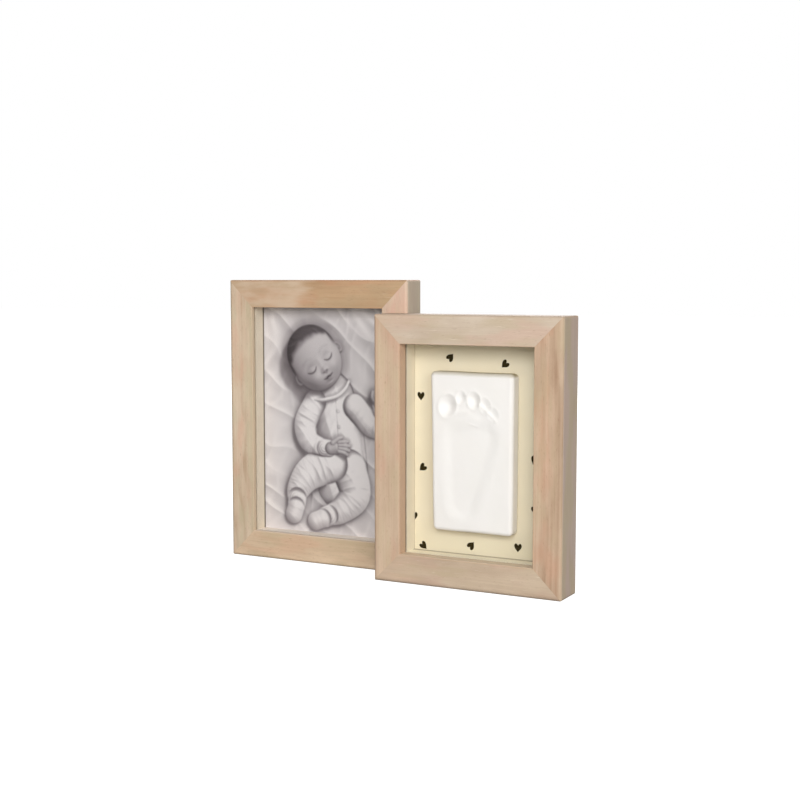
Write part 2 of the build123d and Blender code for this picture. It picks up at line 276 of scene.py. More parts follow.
class ShaderGroups:
    """The shader groups that several finishes share, each built once."""

    def __init__(self) -> None:
        """Builds every group."""
        self.wood_grain = self._wood_grain()
        self.frame_edges = self._frame_edges()
        self.fibres = self._fibres()
        self.brushed = self._brushed()

    @staticmethod
    def _wood_grain() -> Tree:
        """Builds solid wood grain that runs along Z.

        Returns:
            The group: growth rings round a tilted core, soft streaks, fibres, patches, pores and scuffs.
        """
        group = NodeGroup("wood_grain", "ShaderNodeTree", {
            "Place": VECTOR, "Shift": VECTOR, "Core": VECTOR, "Tilt": VECTOR, "Pale": COLOUR,
            "Deep": COLOUR, "Warm": COLOUR, "Cool": COLOUR, "Ring Spacing": NUMBER, "Rings": NUMBER,
            "Streaks": NUMBER, "Patches": NUMBER, "Scuffs": NUMBER, "Pores": NUMBER,
        }, SURFACE)
        given, times, plus, spread = group.given, group.times, group.plus, group.spread
        place = given["Place"]
        shifted = group.vector("ADD", place, given["Shift"])
        half = 0.5
        noise = {name: group.noise(shifted, kind.stretch, kind.layers, kind.strength)
                 for name, kind in GRAIN.items()}
        shift = {name: times(group.minus(noise[name], half), kind.shift)
                 for name, kind in GRAIN.items() if kind.shift}
        mask = {name: spread(noise[name], *kind.band) for name, kind in GRAIN.items() if kind.band}

        # growth rings: how far each point lies from a core that leans away from the member's length
        along = group.separate(place)[2]
        lean = group.vector("SCALE", given["Tilt"])
        group.feed(lean.node.inputs["Scale"], along)
        out = group.vector("ADD", group.vector("SUBTRACT", place, given["Core"]), lean)
        across, deep, _ = group.separate(out)
        radius = group.math("SQRT", plus(times(across, across), times(deep, deep)))
        warped = plus(radius, plus(shift["wander"], shift["waver"]))
        phase = group.math("FRACT", group.math("DIVIDE", warped, given["Ring Spacing"]))
        darkens, darkest = 0.28, 0.86
        late = times(spread(phase, darkens, darkest), spread(phase, darkest, 1.0, 1.0, 0.0))
        rings = times(late, mask["uneven"])

        # streaks and fibres along the length
        middle_tone = 0.42
        streaks = plus(shift["broad"], shift["narrow"])
        shade = group.math("MULTIPLY_ADD", streaks, given["Streaks"], middle_tone)
        shade = group.math("MULTIPLY_ADD", rings, given["Rings"], shade)
        shade = plus(shade, plus(shift["fine"], shift["hair"]))
        shade = plus(plus(shade, shift["blotch"]), shift["cloud"], clamp=True)
        colour = group.blend(shade, given["Pale"], given["Deep"])

        # warmer and greener patches, sharper across the grain than along it
        colour = group.blend(times(mask["patch"], given["Patches"]), colour, given["Warm"])
        colour = group.blend(times(mask["moss"], given["Patches"]), colour, given["Cool"])
        thread = times(times(mask["thread"], given["Streaks"]), half)
        colour = group.blend(thread, colour, given["Warm"])

        # short dark pores and pale scuffs
        pore_tint, scuff_tint = linear((158, 124, 98)), linear((236, 224, 208))
        pores = times(mask["pores"], given["Pores"])
        dark = group.blend(1.0, colour, pore_tint, "MULTIPLY")
        colour = group.blend(pores, colour, dark)
        scuffs = times(mask["scuffs"], given["Scuffs"])
        colour = group.blend(scuffs, colour, scuff_tint)

        fine_rough, mean_rough, ring_gloss = 0.16, 0.5, -0.06
        rough = group.math("MULTIPLY_ADD", noise["fine"], fine_rough, mean_rough)
        rough = group.math("MULTIPLY_ADD", rings, ring_gloss, rough)
        hair_high, fine_high, pore_deep, ring_high = 0.5, 0.8, -0.9, 0.35
        relief = times(noise["fine"], fine_high)
        relief = group.math("MULTIPLY_ADD", noise["hair"], hair_high, relief)
        relief = group.math("MULTIPLY_ADD", pores, pore_deep, relief)
        relief = group.math("MULTIPLY_ADD", rings, ring_high, relief)
        group.give(Color=colour, Roughness=rough, Height=relief)
        return group.tree

    @staticmethod
    def _frame_edges() -> Tree:
        """Builds masks of a frame's outer edge, its opening and its mitres.

        Returns:
            The group, which reads places in millimetres and the frame's middle and half sizes.
        """
        group = NodeGroup("frame_edges", "ShaderNodeTree", {
            "Place": VECTOR, "Middle": VECTOR, "Outer Half": VECTOR, "Opening Half": VECTOR,
            "Outer Fade": NUMBER, "Inner Fade": NUMBER,
        }, {"Outer": NUMBER, "Side": NUMBER, "Inner": NUMBER, "Wall": NUMBER, "Mitre": NUMBER})
        given, spread = group.given, group.spread
        away = group.vector("ABSOLUTE", group.vector("SUBTRACT", given["Place"], given["Middle"]))
        out_x, _, out_z = group.separate(group.vector("SUBTRACT", given["Outer Half"], away))
        in_x, _, in_z = group.separate(group.vector("SUBTRACT", away, given["Opening Half"]))
        outer = group.math("MINIMUM", out_x, out_z)
        inner = group.math("MAXIMUM", in_x, in_z)
        diagonal = group.math("ABSOLUTE", group.minus(out_x, out_z))
        wall_start, wall_end, mitre_start, mitre_end = 0.06, 0.3, 0.05, 0.42
        group.give(Outer=spread(outer, 0.0, given["Outer Fade"], 1.0, 0.0),
                   Side=spread(outer, wall_start, wall_end, 1.0, 0.0),
                   Inner=spread(inner, 0.0, given["Inner Fade"], 1.0, 0.0),
                   Wall=spread(inner, wall_start, wall_end, 1.0, 0.0),
                   Mitre=spread(diagonal, mitre_start, mitre_end, 1.0, 0.0))
        return group.tree

    @staticmethod
    def _fibres() -> Tree:
        """Builds the clouds, fibres and specks of paper, board, foam and clay.

        Returns:
            The group, which reads places in millimetres.
        """
        group = NodeGroup("fibres", "ShaderNodeTree", {
            "Place": VECTOR, "Base": COLOUR, "Tint": COLOUR, "Speck": COLOUR, "Cloud Size": NUMBER,
            "Fibre Size": NUMBER, "Clouds": NUMBER, "Specks": NUMBER, "Roughness": NUMBER,
        }, SURFACE)
        given, times, plus, spread = group.given, group.times, group.plus, group.spread
        coarse = group.vector("DIVIDE", given["Place"], group.combine(*[given["Cloud Size"]] * 3))
        close = group.vector("DIVIDE", given["Place"], group.combine(*[given["Fibre Size"]] * 3))
        even, laid, sparse = (1.0, 1.0, 1.0), (0.35, 1.0, 1.6), (0.55, 0.55, 0.55)
        cloud_band, speck_band, half = (0.3, 0.7), (0.7, 0.78), 0.5
        felt_rough, crossed_high = 0.14, 0.6
        clouds = group.noise(coarse, even, 3.0)
        felt = group.noise(close, even, 3.0, 0.65)
        crossed = group.noise(close, laid, 2.0, 0.6)
        specks = spread(group.noise(close, sparse, 1.0), *speck_band)
        shade = times(spread(clouds, *cloud_band), given["Clouds"])
        shade = plus(shade, times(group.minus(felt, half), half))
        colour = group.blend(plus(shade, 0.0, clamp=True), given["Base"], given["Tint"])
        colour = group.blend(times(specks, given["Specks"]), colour, given["Speck"])
        rough = group.math("MULTIPLY_ADD", felt, felt_rough, given["Roughness"])
        group.give(Color=colour, Roughness=rough, Height=plus(felt, times(crossed, crossed_high)))
        return group.tree

    @staticmethod
    def _brushed() -> Tree:
        """Builds brushed or rolled metal with tarnish.

        Returns:
            The group, which reads places in millimetres.
        """
        group = NodeGroup("brushed", "ShaderNodeTree", {
            "Place": VECTOR, "Base": COLOUR, "Tarnish": COLOUR, "Amount": NUMBER, "Roughness": NUMBER,
        }, SURFACE)
        given, times, spread = group.given, group.times, group.spread
        brushing, clouding, cloud_band = (0.5, 6.0, 9.0), (0.35, 0.35, 0.35), (0.42, 0.7)
        line_tint, line_rough, dull_rough = 0.18, 0.12, 0.15
        lines = group.noise(given["Place"], brushing, 2.0, 0.6)
        clouds = group.noise(given["Place"], clouding, 4.0, 0.6)
        dull = times(spread(clouds, *cloud_band), given["Amount"])
        colour = group.blend(dull, given["Base"], given["Tarnish"])
        colour = group.blend(times(lines, line_tint), colour, given["Tarnish"])
        rough = group.math("MULTIPLY_ADD", lines, line_rough, given["Roughness"])
        rough = group.math("MULTIPLY_ADD", dull, dull_rough, rough)
        group.give(Color=colour, Roughness=rough, Height=lines)
        return group.tree


class MaterialGraph(NodeGraph):
    """One material's nodes, with its Principled shader and coordinates in millimetres."""

    def __init__(self, name: str) -> None:
        """Makes the material.

        Args:
            name: the material's name.
        """
        self.material = bpy.data.materials.new(name)
        self.material.use_nodes = True
        super().__init__(self.material.node_tree)
        self.shader = self.tree.nodes["Principled BSDF"]
        coordinates = self.node("ShaderNodeTexCoord").outputs["Object"]
        self.place = self.vector("MULTIPLY", coordinates, (1 / MM, 1 / MM, 1 / MM))

    def group(self, tree: Tree, inputs: Inputs) -> Node:
        """Adds a shared group with this material's values."""
        return self.node("ShaderNodeGroup", inputs, node_tree=tree)

    def surface(self, colour: Feed, roughness: Feed, height: Feed = None, relief: float = 0.05,
                strength: float = 0.5) -> Material:
        """Feeds the shader.

        Args:
            colour: the base colour.
            roughness: the roughness.
            height: what the bump reads, if it has one.
            relief: how high a step of 1 stands, in millimetres.
            strength: the bump's strength.

        Returns:
            The finished material.
        """
        self.feed(self.shader.inputs["Base Color"], colour)
        self.feed(self.shader.inputs["Roughness"], roughness)
        if height is not None:
            inputs = {"Strength": strength, "Distance": relief * MM, "Height": height}
            bump = self.node("ShaderNodeBump", inputs)
            self.feed(self.shader.inputs["Normal"], bump.outputs["Normal"])
        return self.material


class Grain(Enum):
    """Which way a member's grain runs, as the turn about Y that brings it to Z."""

    UPRIGHT = 0.0
    LEVEL = -math.pi / 2


@dataclass(frozen=True)
class WoodFinish:
    """One member's wood, in display colours, millimetres and shares from 0 to 1."""

    pale: Rgb
    deep: Rgb
    seed: float
    warm: Rgb = (203, 158, 120)
    cool: Rgb = (188, 170, 136)
    # edge: the outer edges' tint, partly wear and partly painted shade where a rounded edge turns away from
    # the light
    edge: Rgb = (190, 182, 158)
    edge_share: float = 0.3
    edge_width: float = 3.4
    inner: Rgb = (214, 168, 126)
    inner_share: float = 0.25
    inner_width: float = 1.3
    wall: Rgb = (190, 158, 134)
    wall_share: float = 0.75
    side: Rgb = (190, 178, 156)
    side_share: float = 0.5
    wash: Rgb = (184, 168, 152)
    seam: float = 0.1
    # seat: how strong the painted shade line at the back of the opening's wall is
    seat: float = 0.5
    drift: Rgb = (203, 180, 152)
    drift_share: float = 0.0
    drift_place: Pair = (0.0, 1.0)
    ring_spacing: float = 3.6
    rings: float = 0.25
    core: Triple = (0.0, 34.0, 0.0)
    tilt: Triple = (0.0, 0.0, 0.0)
    streaks: float = 0.3
    patches: float = 0.15
    scuffs: float = 0.04
    pores: float = 0.5
    mitre_tint: Rgb = (120, 88, 66)
    gap_shade_tint: Rgb = (104, 82, 58)
    gap_band: Pair = (-0.9, -0.2)
    wash_share: float = 0.6
    relief: float = 0.05
    strength: float = 0.35
    specular: float = 0.3

    def material(self, name: str, groups: ShaderGroups, outline: "FrameOutline",
                 grain: Grain) -> Material:
        """Builds the wood of one member.

        Args:
            name: the material's name.
            groups: the shared shader groups.
            outline: the frame that the member belongs to.
            grain: which way its grain runs.

        Returns:
            The material.
        """
        graph = MaterialGraph(name)
        centred = graph.vector("SUBTRACT", graph.place, tuple(outline.middle))
        turned = graph.node("ShaderNodeMapping", {"Vector": centred, "Rotation": (0.0, grain.value, 0.0)})
        step = (37.1, 17.3, 91.7)
        wood = graph.group(groups.wood_grain, {
            "Place": turned.outputs[0], "Shift": tuple(self.seed * part for part in step),
            "Core": self.core, "Tilt": self.tilt, "Pale": linear(self.pale), "Deep": linear(self.deep),
            "Warm": linear(self.warm), "Cool": linear(self.cool), "Ring Spacing": self.ring_spacing,
            "Rings": self.rings, "Streaks": self.streaks, "Patches": self.patches,
            "Scuffs": self.scuffs, "Pores": self.pores,
        })
        edges = graph.group(groups.frame_edges, {
            "Place": graph.place, "Middle": tuple(outline.middle), "Outer Half": tuple(outline.half),
            "Opening Half": tuple(outline.opening_half), "Outer Fade": self.edge_width,
            "Inner Fade": self.inner_width,
        })
        # a noise that breaks up the outer and inner edge tints
        breakup_size, breakup_band, breakup_least = (0.06, 0.06, 0.03), (0.25, 0.6), 0.35
        edge_breakup = graph.spread(graph.noise(graph.place, breakup_size), *breakup_band, breakup_least, 1.0)
        colour = wood.outputs["Color"]
        if self.drift_share:
            along = graph.separate(turned.outputs[0])[2]
            streak_size, streak_reach, half = (0.3, 0.3, 0.03), 60.0, 0.5
            break_size, break_band, break_least = (0.11, 0.11, 0.035), (0.38, 0.6), 0.4
            streaky = graph.noise(turned.outputs[0], streak_size, 3.0)
            along = graph.math("MULTIPLY_ADD", graph.minus(streaky, half), streak_reach, along)
            far = graph.times(graph.spread(along, *self.drift_place), self.drift_share)
            broken = graph.noise(turned.outputs[0], break_size, 4.0)
            far = graph.times(far, graph.spread(broken, *break_band, 1.0, break_least))
            colour = graph.blend(far, colour, linear(self.drift))
        # tints by mask: the outer edges' tint is partly wear and partly painted shade on rounded edges turned
        # away from the light; the others tint the opening's edges, the outer faces and the opening's walls
        for mask, tint, share in (("Outer", self.edge, self.edge_share),
                                  ("Inner", self.inner, self.inner_share),
                                  ("Side", self.side, self.side_share),
                                  ("Wall", self.wall, self.wall_share)):
            amount = graph.times(edges.outputs[mask], share)
            if mask in ("Outer", "Inner"):
                amount = graph.times(amount, edge_breakup)
            colour = graph.blend(amount, colour, linear(tint))
        # the outer faces took the wash unevenly
        wash_size, wash_band = (0.1, 0.13, 0.024), (0.42, 0.6)
        uneven = graph.spread(graph.noise(graph.place, wash_size, 2.0), *wash_band)
        uneven = graph.times(graph.times(uneven, edges.outputs["Side"]), self.wash_share)
        colour = graph.blend(uneven, colour, linear(self.wash))
        # the grain still shows a little through each tint
        through, even = 0.35, 0.5
        colour = graph.blend(through, colour, graph.blend(even, colour, wood.outputs["Color"]))
        seam = graph.times(edges.outputs["Mitre"], self.seam)
        colour = graph.blend(seam, colour, linear(self.mitre_tint))
        # painted shade: a dark line at the back of the opening's wall, where the lip meets the pane
        gap_shade = graph.spread(graph.separate(graph.place)[1],
                               *[outline.lip_back + edge for edge in self.gap_band])
        gap_shade = graph.times(graph.times(gap_shade, edges.outputs["Wall"]), self.seat)
        colour = graph.blend(gap_shade, colour, linear(self.gap_shade_tint))
        mitre_deep = -0.4
        relief = graph.math("MULTIPLY_ADD", edges.outputs["Mitre"], mitre_deep, wood.outputs["Height"])
        graph.shader.inputs["Specular IOR Level"].default_value = self.specular
        return graph.surface(colour, wood.outputs["Roughness"], relief, self.relief, self.strength)


@dataclass(frozen=True)
class FibreFinish:
    """Paper, card, board, foam or clay, in display colours, millimetres and shares."""

    base: Rgb
    tint: Rgb
    speck: Rgb
    cloud_size: float = 12.0
    fibre_size: float = 0.35
    clouds: float = 0.4
    specks: float = 0.1
    roughness: float = 0.75
    relief: float = 0.03
    strength: float = 0.35
    specular: float = 0.3
    # line: the colour of a painted shade band laid over a span along one axis, with its share
    line: Rgb = (112, 98, 82)
    shade_line_share: float = 0.0
    shade_line_span: Pair = (0.0, 1.0)
    shade_line_axis: int = 1

    def material(self, name: str, groups: ShaderGroups) -> Material:
        """Builds the material.

        Args:
            name: the material's name.
            groups: the shared shader groups.

        Returns:
            The material.
        """
        graph = MaterialGraph(name)
        made = self.group(graph, groups, linear(self.base))
        colour = made.outputs["Color"]
        # painted shade: darker over the span along the chosen axis
        if self.shade_line_share:
            shade_line_mask = graph.spread(graph.separate(graph.place)[self.shade_line_axis], *self.shade_line_span)
            colour = graph.blend(graph.times(shade_line_mask, self.shade_line_share), colour, linear(self.line))
        graph.shader.inputs["Specular IOR Level"].default_value = self.specular
        return graph.surface(colour, *made.outputs[1:], self.relief, self.strength)

    def group(self, graph: MaterialGraph, groups: ShaderGroups, base: Feed) -> Node:
        """Adds the fibre group with this finish's values.

        Args:
            graph: the material's nodes.
            groups: the shared shader groups.
            base: the base colour, or the socket that gives it.

        Returns:
            The group node.
        """
        return graph.group(groups.fibres, {
            "Place": graph.place, "Base": base, "Tint": linear(self.tint), "Speck": linear(self.speck),
            "Cloud Size": self.cloud_size, "Fibre Size": self.fibre_size, "Clouds": self.clouds,
            "Specks": self.specks, "Roughness": self.roughness,
        })


@dataclass(frozen=True)
class MetalFinish:
    """Plated or bare metal, in display colours and shares."""

    base: Rgb
    tarnish: Rgb
    amount: float = 0.4
    roughness: float = 0.3
    relief: float = 0.01
    strength: float = 0.4

    def material(self, name: str, groups: ShaderGroups) -> Material:
        """Builds the material.

        Args:
            name: the material's name.
            groups: the shared shader groups.

        Returns:
            The material.
        """
        graph = MaterialGraph(name)
        made = graph.group(groups.brushed, {
            "Place": graph.place, "Base": linear(self.base), "Tarnish": linear(self.tarnish),
            "Amount": self.amount, "Roughness": self.roughness,
        })
        graph.shader.inputs["Metallic"].default_value = 1.0
        return graph.surface(*made.outputs, self.relief, self.strength)


@dataclass(frozen=True)
class PaneFinish:
    """Thin clear acrylic."""

    tint: Rgb = (84, 84, 66)
    smear: Rgb = (108, 108, 90)
    cover: float = 0.03
    roughness: float = 0.06

    def material(self, name: str) -> Material:
        """Builds the material.

        Args:
            name: the material's name.

        Returns:
            The material.
        """
        graph = MaterialGraph(name)
        smear_size, smear_share, smear_rough = (0.05, 0.05, 0.03), 0.3, 0.05
        smears = graph.noise(graph.place, smear_size, 3.0)
        colour = graph.blend(graph.times(smears, smear_share), linear(self.tint), linear(self.smear))
        graph.shader.inputs["Alpha"].default_value = self.cover
        rough = graph.math("MULTIPLY_ADD", smears, smear_rough, self.roughness)
        return graph.surface(colour, rough)


@dataclass(frozen=True)
class FrameOutline:
    """One frame's middle and half sizes in millimetres, read from its packed members."""

    middle: Array
    half: Array
    opening_half: Array
    lip_back: float

    @classmethod
    def read(cls, prefix: str) -> "FrameOutline":
        """Reads the outline of the frame whose nodes start with the prefix.

        Args:
            prefix: photo_frame or print_frame.

        Returns:
            The outline.
        """
        boxes = [millimetres(f"{prefix}_{name}") for name in Member.names()]
        low = np.min([box[0] for box in boxes], axis=0)
        high = np.max([box[1] for box in boxes], axis=0)
        stile_low, stile_high = millimetres(f"{prefix}_{Member.LEFT.value}")
        face = stile_high[0] - stile_low[0]
        half = (high - low) / 2
        lip_back = float(millimetres(f"{prefix}_pane")[0][1])
        return cls((low + high) / 2, half, half - np.array((face, 0.0, face)), lip_back)


class Member(Enum):
    """A frame's four members, by the end of their nodes' names."""

    TOP = "top_rail"
    BOTTOM = "bottom_rail"
    LEFT = "left_stile"
    RIGHT = "right_stile"

    @classmethod
    def names(cls) -> list[str]:
        """The four name endings."""
        return [member.value for member in cls]

    @property
    def grain(self) -> Grain:
        """Which way the member's grain runs."""
        return Grain.LEVEL if self in (Member.TOP, Member.BOTTOM) else Grain.UPRIGHT


def placed(name: str, data: Any) -> Piece:
    """Adds an object to the scene, at the origin.

    Args:
        name: its name.
        data: its mesh, light or camera.

    Returns:
        The object.
    """
    made = bpy.data.objects.new(name, data)
    bpy.context.scene.collection.objects.link(made)
    return made


def new_mesh_object(name: str, points: Array, faces: list[list[int]], sharp_angle: float) -> Piece:
    """Makes a mesh object at the origin, with smooth faces and sharp creases.

    Args:
        name: the object's name.
        points: its points, in millimetres.
        faces: the points of each face, by number.
        sharp_angle: the angle in degrees past which an edge stays sharp.

    Returns:
        The object, linked into the scene.
    """
    mesh = bpy.data.meshes.new(name)
    mesh.from_pydata((np.asarray(points) * MM).tolist(), [], faces)
    mesh.validate()
    finish_mesh(mesh, sharp_angle)
    return placed(name, mesh)


def finish_mesh(mesh: bpy.types.Mesh, sharp_angle: float) -> None:
    """Shades a mesh smooth, apart from its creases.

    Args:
        mesh: the mesh.
        sharp_angle: the angle in degrees past which an edge stays sharp.
    """
    mesh.shade_smooth()
    mesh.set_sharp_from_angle(angle=math.radians(sharp_angle))
    mesh.update()


def grid_faces(rows: int, columns: int) -> tuple[list[list[int]], Array]:
    """Joins a grid of points by squares.

    Args:
        rows: how many points it has up.
        columns: how many it has across.

    Returns:
        The faces, and the numbers of the points round its rim.
    """
    number = np.arange(rows * columns).reshape(rows, columns)
    corners = (number[:-1, :-1], number[:-1, 1:], number[1:, 1:], number[1:, :-1])
    faces = np.stack([corner.ravel() for corner in corners], axis=1).tolist()
    rim = np.concatenate((number[0, :-1], number[:-1, -1], number[-1, :0:-1], number[:0:-1, 0]))
    return faces, rim


def ring_faces(first: list[int], second: list[int]) -> list[list[int]]:
    """The squares between two rings of points, by their numbers."""
    return [list(face) for face in zip(first, second, second[1:] + second[:1], first[1:] + first[:1])]


def fan_faces(ring: list[int], middle: int) -> list[list[int]]:
    """The triangles from a ring of points to a point in its middle."""
    return [[here, middle, after] for here, after in zip(ring, ring[1:] + ring[:1])]


def wear(piece: Piece, material: Material) -> None:
    """Gives a piece one material in all its slots.

    Args:
        piece: the piece.
        material: what it wears.
    """
    if not piece.data.materials:
        piece.data.materials.append(material)
    for slot in piece.material_slots:
        slot.material = material


def grown(tree: NodeGroup, name: str, points: Sequence[Triple], turns: Sequence[float],
          inputs: dict[str, Any]) -> Piece:
    """Runs a geometry tree on a handful of points and keeps the result as a plain mesh.

    Args:
        tree: the geometry tree, which reads the points and their turn attribute.
        name: the new piece's name.
        points: where each copy goes, in millimetres.
        turns: how far each copy is turned about Y, in degrees.
        inputs: the tree's named inputs.

    Returns:
        The piece, at the origin, with no modifier.
    """
    seeds = bpy.data.meshes.new(f"{name}_places")
    seeds.from_pydata((np.asarray(points) * MM).tolist(), [], [])
    turn = seeds.attributes.new("turn", "FLOAT", "POINT")
    turn.data.foreach_set("value", np.radians(np.asarray(turns, dtype=np.float32)))
    source = placed(f"{name}_places", seeds)
    modifier = source.modifiers.new("copies", "NODES")
    modifier.node_group = tree.tree
    sockets = {item.name: item.identifier for item in tree.tree.interface.items_tree
               if item.item_type == "SOCKET" and item.in_out == "INPUT"}
    for label, value in inputs.items():
        modifier[sockets[label]] = value
    depsgraph = bpy.context.evaluated_depsgraph_get()
    mesh = bpy.data.meshes.new_from_object(source.evaluated_get(depsgraph), depsgraph=depsgraph)
    source.modifiers.remove(modifier)
    bpy.data.objects.remove(source)
    mesh.name, crease = name, 35.0
    finish_mesh(mesh, crease)
    return placed(name, mesh)


class Turning:
    """The geometry trees: printed hearts and turned screws."""

    @staticmethod
    def _end(tree: NodeGroup, instance: Feed) -> None:
        """Puts a copy on every point, realizes them and gives them their material.

        Args:
            tree: the tree to finish.
            instance: the socket of the shape that is copied.
        """
        turn = tree.node("GeometryNodeInputNamedAttribute", {"Name": "turn"}, data_type="FLOAT")
        spin = tree.combine(0.0, turn.outputs["Attribute"], 0.0)
        rotation = tree.node("FunctionNodeEulerToRotation", {0: spin})
        copies = tree.shape("InstanceOnPoints", {
            "Points": tree.given["Geometry"], "Instance": instance, "Rotation": rotation.outputs[0],
        })
        real = tree.shape("RealizeInstances", {0: copies})
        dressed = tree.shape("SetMaterial", {"Geometry": real, "Material": tree.given["Material"]})
        tree.feed(tree.result["Geometry"], dressed)

    @classmethod
    def hearts(cls) -> NodeGroup:
        """Builds the tree of thin printed hearts, their points down where they aren't turned.

        Returns:
            The tree.
        """
        tree = NodeGroup("printed_hearts", "GeometryNodeTree", {
            "Geometry": GEOMETRY, "Width": NUMBER, "Height": NUMBER, "Thickness": NUMBER,
            "Steps": COUNT, "Material": MATERIAL,
        }, {"Geometry": GEOMETRY})
        given = tree.given
        ring = tree.shape("CurvePrimitiveCircle", {"Resolution": given["Steps"], "Radius": 1.0})
        share = tree.node("GeometryNodeSplineParameter").outputs["Factor"]
        angle = tree.times(share, 2 * math.pi)
        sine = tree.math("SINE", angle)
        # the heart curve: sin t with a power across, 13 cos t - 5 cos 2t - 2 cos 3t - cos 4t up
        top, bottom, fullness = 11.92, 17.0, 1.35
        swelled = tree.math("POWER", tree.math("ABSOLUTE", sine), fullness)
        across = tree.times(tree.times(sine, swelled), tree.times(given["Width"], 0.5))
        up: Feed = (bottom - top) / 2
        for turns, weight in ((1, 13.0), (2, -5.0), (3, -2.0), (4, -1.0)):
            wave = tree.math("COSINE", tree.times(angle, float(turns)))
            up = tree.math("MULTIPLY_ADD", wave, weight, up)
        rise = tree.times(up, tree.math("DIVIDE", given["Height"], top + bottom))
        shaped = tree.shape("SetPosition", {
            "Geometry": ring, "Position": tree.combine(across, rise, 0.0)})
        flat = tree.shape("FillCurve", {0: shaped}, mode="NGONS")
        raised = tree.shape("ExtrudeMesh", {
            "Mesh": flat, "Offset Scale": given["Thickness"], "Individual": False}, mode="FACES")
        both = tree.joined(raised, tree.shape("FlipFaces", {0: flat}))
        closed = tree.shape("MergeByDistance", {"Geometry": both, "Distance": MM / 1000})
        quarter = (math.pi / 2, 0.0, 0.0)
        cls._end(tree, tree.shape("Transform", {"Geometry": closed, "Rotation": quarter}))
        return tree

    @classmethod
    def screws(cls) -> NodeGroup:
        """Builds the tree of round-headed cross-slot screws that point along -Y.

        Returns:
            The tree.
        """
        tree = NodeGroup("turned_screws", "GeometryNodeTree", {
            "Geometry": GEOMETRY, "Head Radius": NUMBER, "Head Height": NUMBER,
            "Shank Radius": NUMBER, "Shank Length": NUMBER, "Slot Length": NUMBER, "Slot Width": NUMBER,
            "Slot Depth": NUMBER, "Segments": COUNT, "Material": MATERIAL,
        }, {"Geometry": GEOMETRY})
        given = tree.given
        rows = 13
        grid = tree.shape("MeshGrid", {
            "Size X": 1.0, "Size Y": 1.0, "Vertices Y": rows,
            "Vertices X": tree.plus(given["Segments"], 1.0)})
        column, row, _ = tree.separate(tree.node("GeometryNodeInputPosition").outputs[0])
        angle = tree.times(tree.plus(column, 0.5), 2 * math.pi)
        along = tree.plus(row, 0.5)
        # seat from the middle out to the rim, up the rim, then over the dome to its top
        seat_end, rim_end, rim_share = 1.0 / (rows - 1), 3.0 / (rows - 1), 0.32
        out = tree.math("MINIMUM", tree.math("DIVIDE", along, seat_end), 1.0)
        climb = tree.spread(along, seat_end, rim_end)
        arc = tree.math("DIVIDE", tree.minus(along, rim_end), 1.0 - rim_end)
        arc = tree.times(tree.math("MAXIMUM", arc, 0.0), math.pi / 2)
        radius = tree.times(tree.times(out, tree.math("COSINE", arc)), given["Head Radius"])
        rise = tree.math("MULTIPLY_ADD", tree.math("SINE", arc), 1.0 - rim_share,
                         tree.times(climb, rim_share))
        rise = tree.times(rise, given["Head Height"])
        place = tree.combine(tree.times(radius, tree.math("COSINE", angle)), rise,
                             tree.times(radius, tree.math("SINE", angle)))
        lathed = tree.shape("SetPosition", {"Geometry": grid, "Position": place})
        head = tree.shape("MergeByDistance", {"Geometry": lathed, "Distance": MM / 1000})
        lift = tree.combine(0.0, given["Head Height"], 0.0)
        depth = tree.times(given["Slot Depth"], 2.0)
        cut = tree.node("GeometryNodeMeshBoolean", {"Mesh 1": head}, operation="DIFFERENCE", solver="EXACT")
        bars = [tree.shape("MeshCube", {"Size": tree.combine(*size)})
                for size in ((given["Slot Length"], depth, given["Slot Width"]),
                             (given["Slot Width"], depth, given["Slot Length"]))]
        for bar in bars:
            raised = tree.shape("Transform", {"Geometry": bar, "Translation": lift})
            tree.tree.links.new(raised, cut.inputs["Mesh 2"])
        shank = tree.shape("MeshCylinder", {
            "Vertices": given["Segments"], "Radius": given["Shank Radius"],
            "Depth": given["Shank Length"]})
        sunk = -0.499  # a little less than half the length back, so that its end lies in the head
        shank = tree.shape("Transform", {
            "Geometry": shank, "Rotation": (math.pi / 2, 0.0, 0.0),
            "Translation": tree.combine(0.0, tree.times(given["Shank Length"], sunk), 0.0)})
        cls._end(tree, tree.joined(cut.outputs["Mesh"], shank))
        return tree


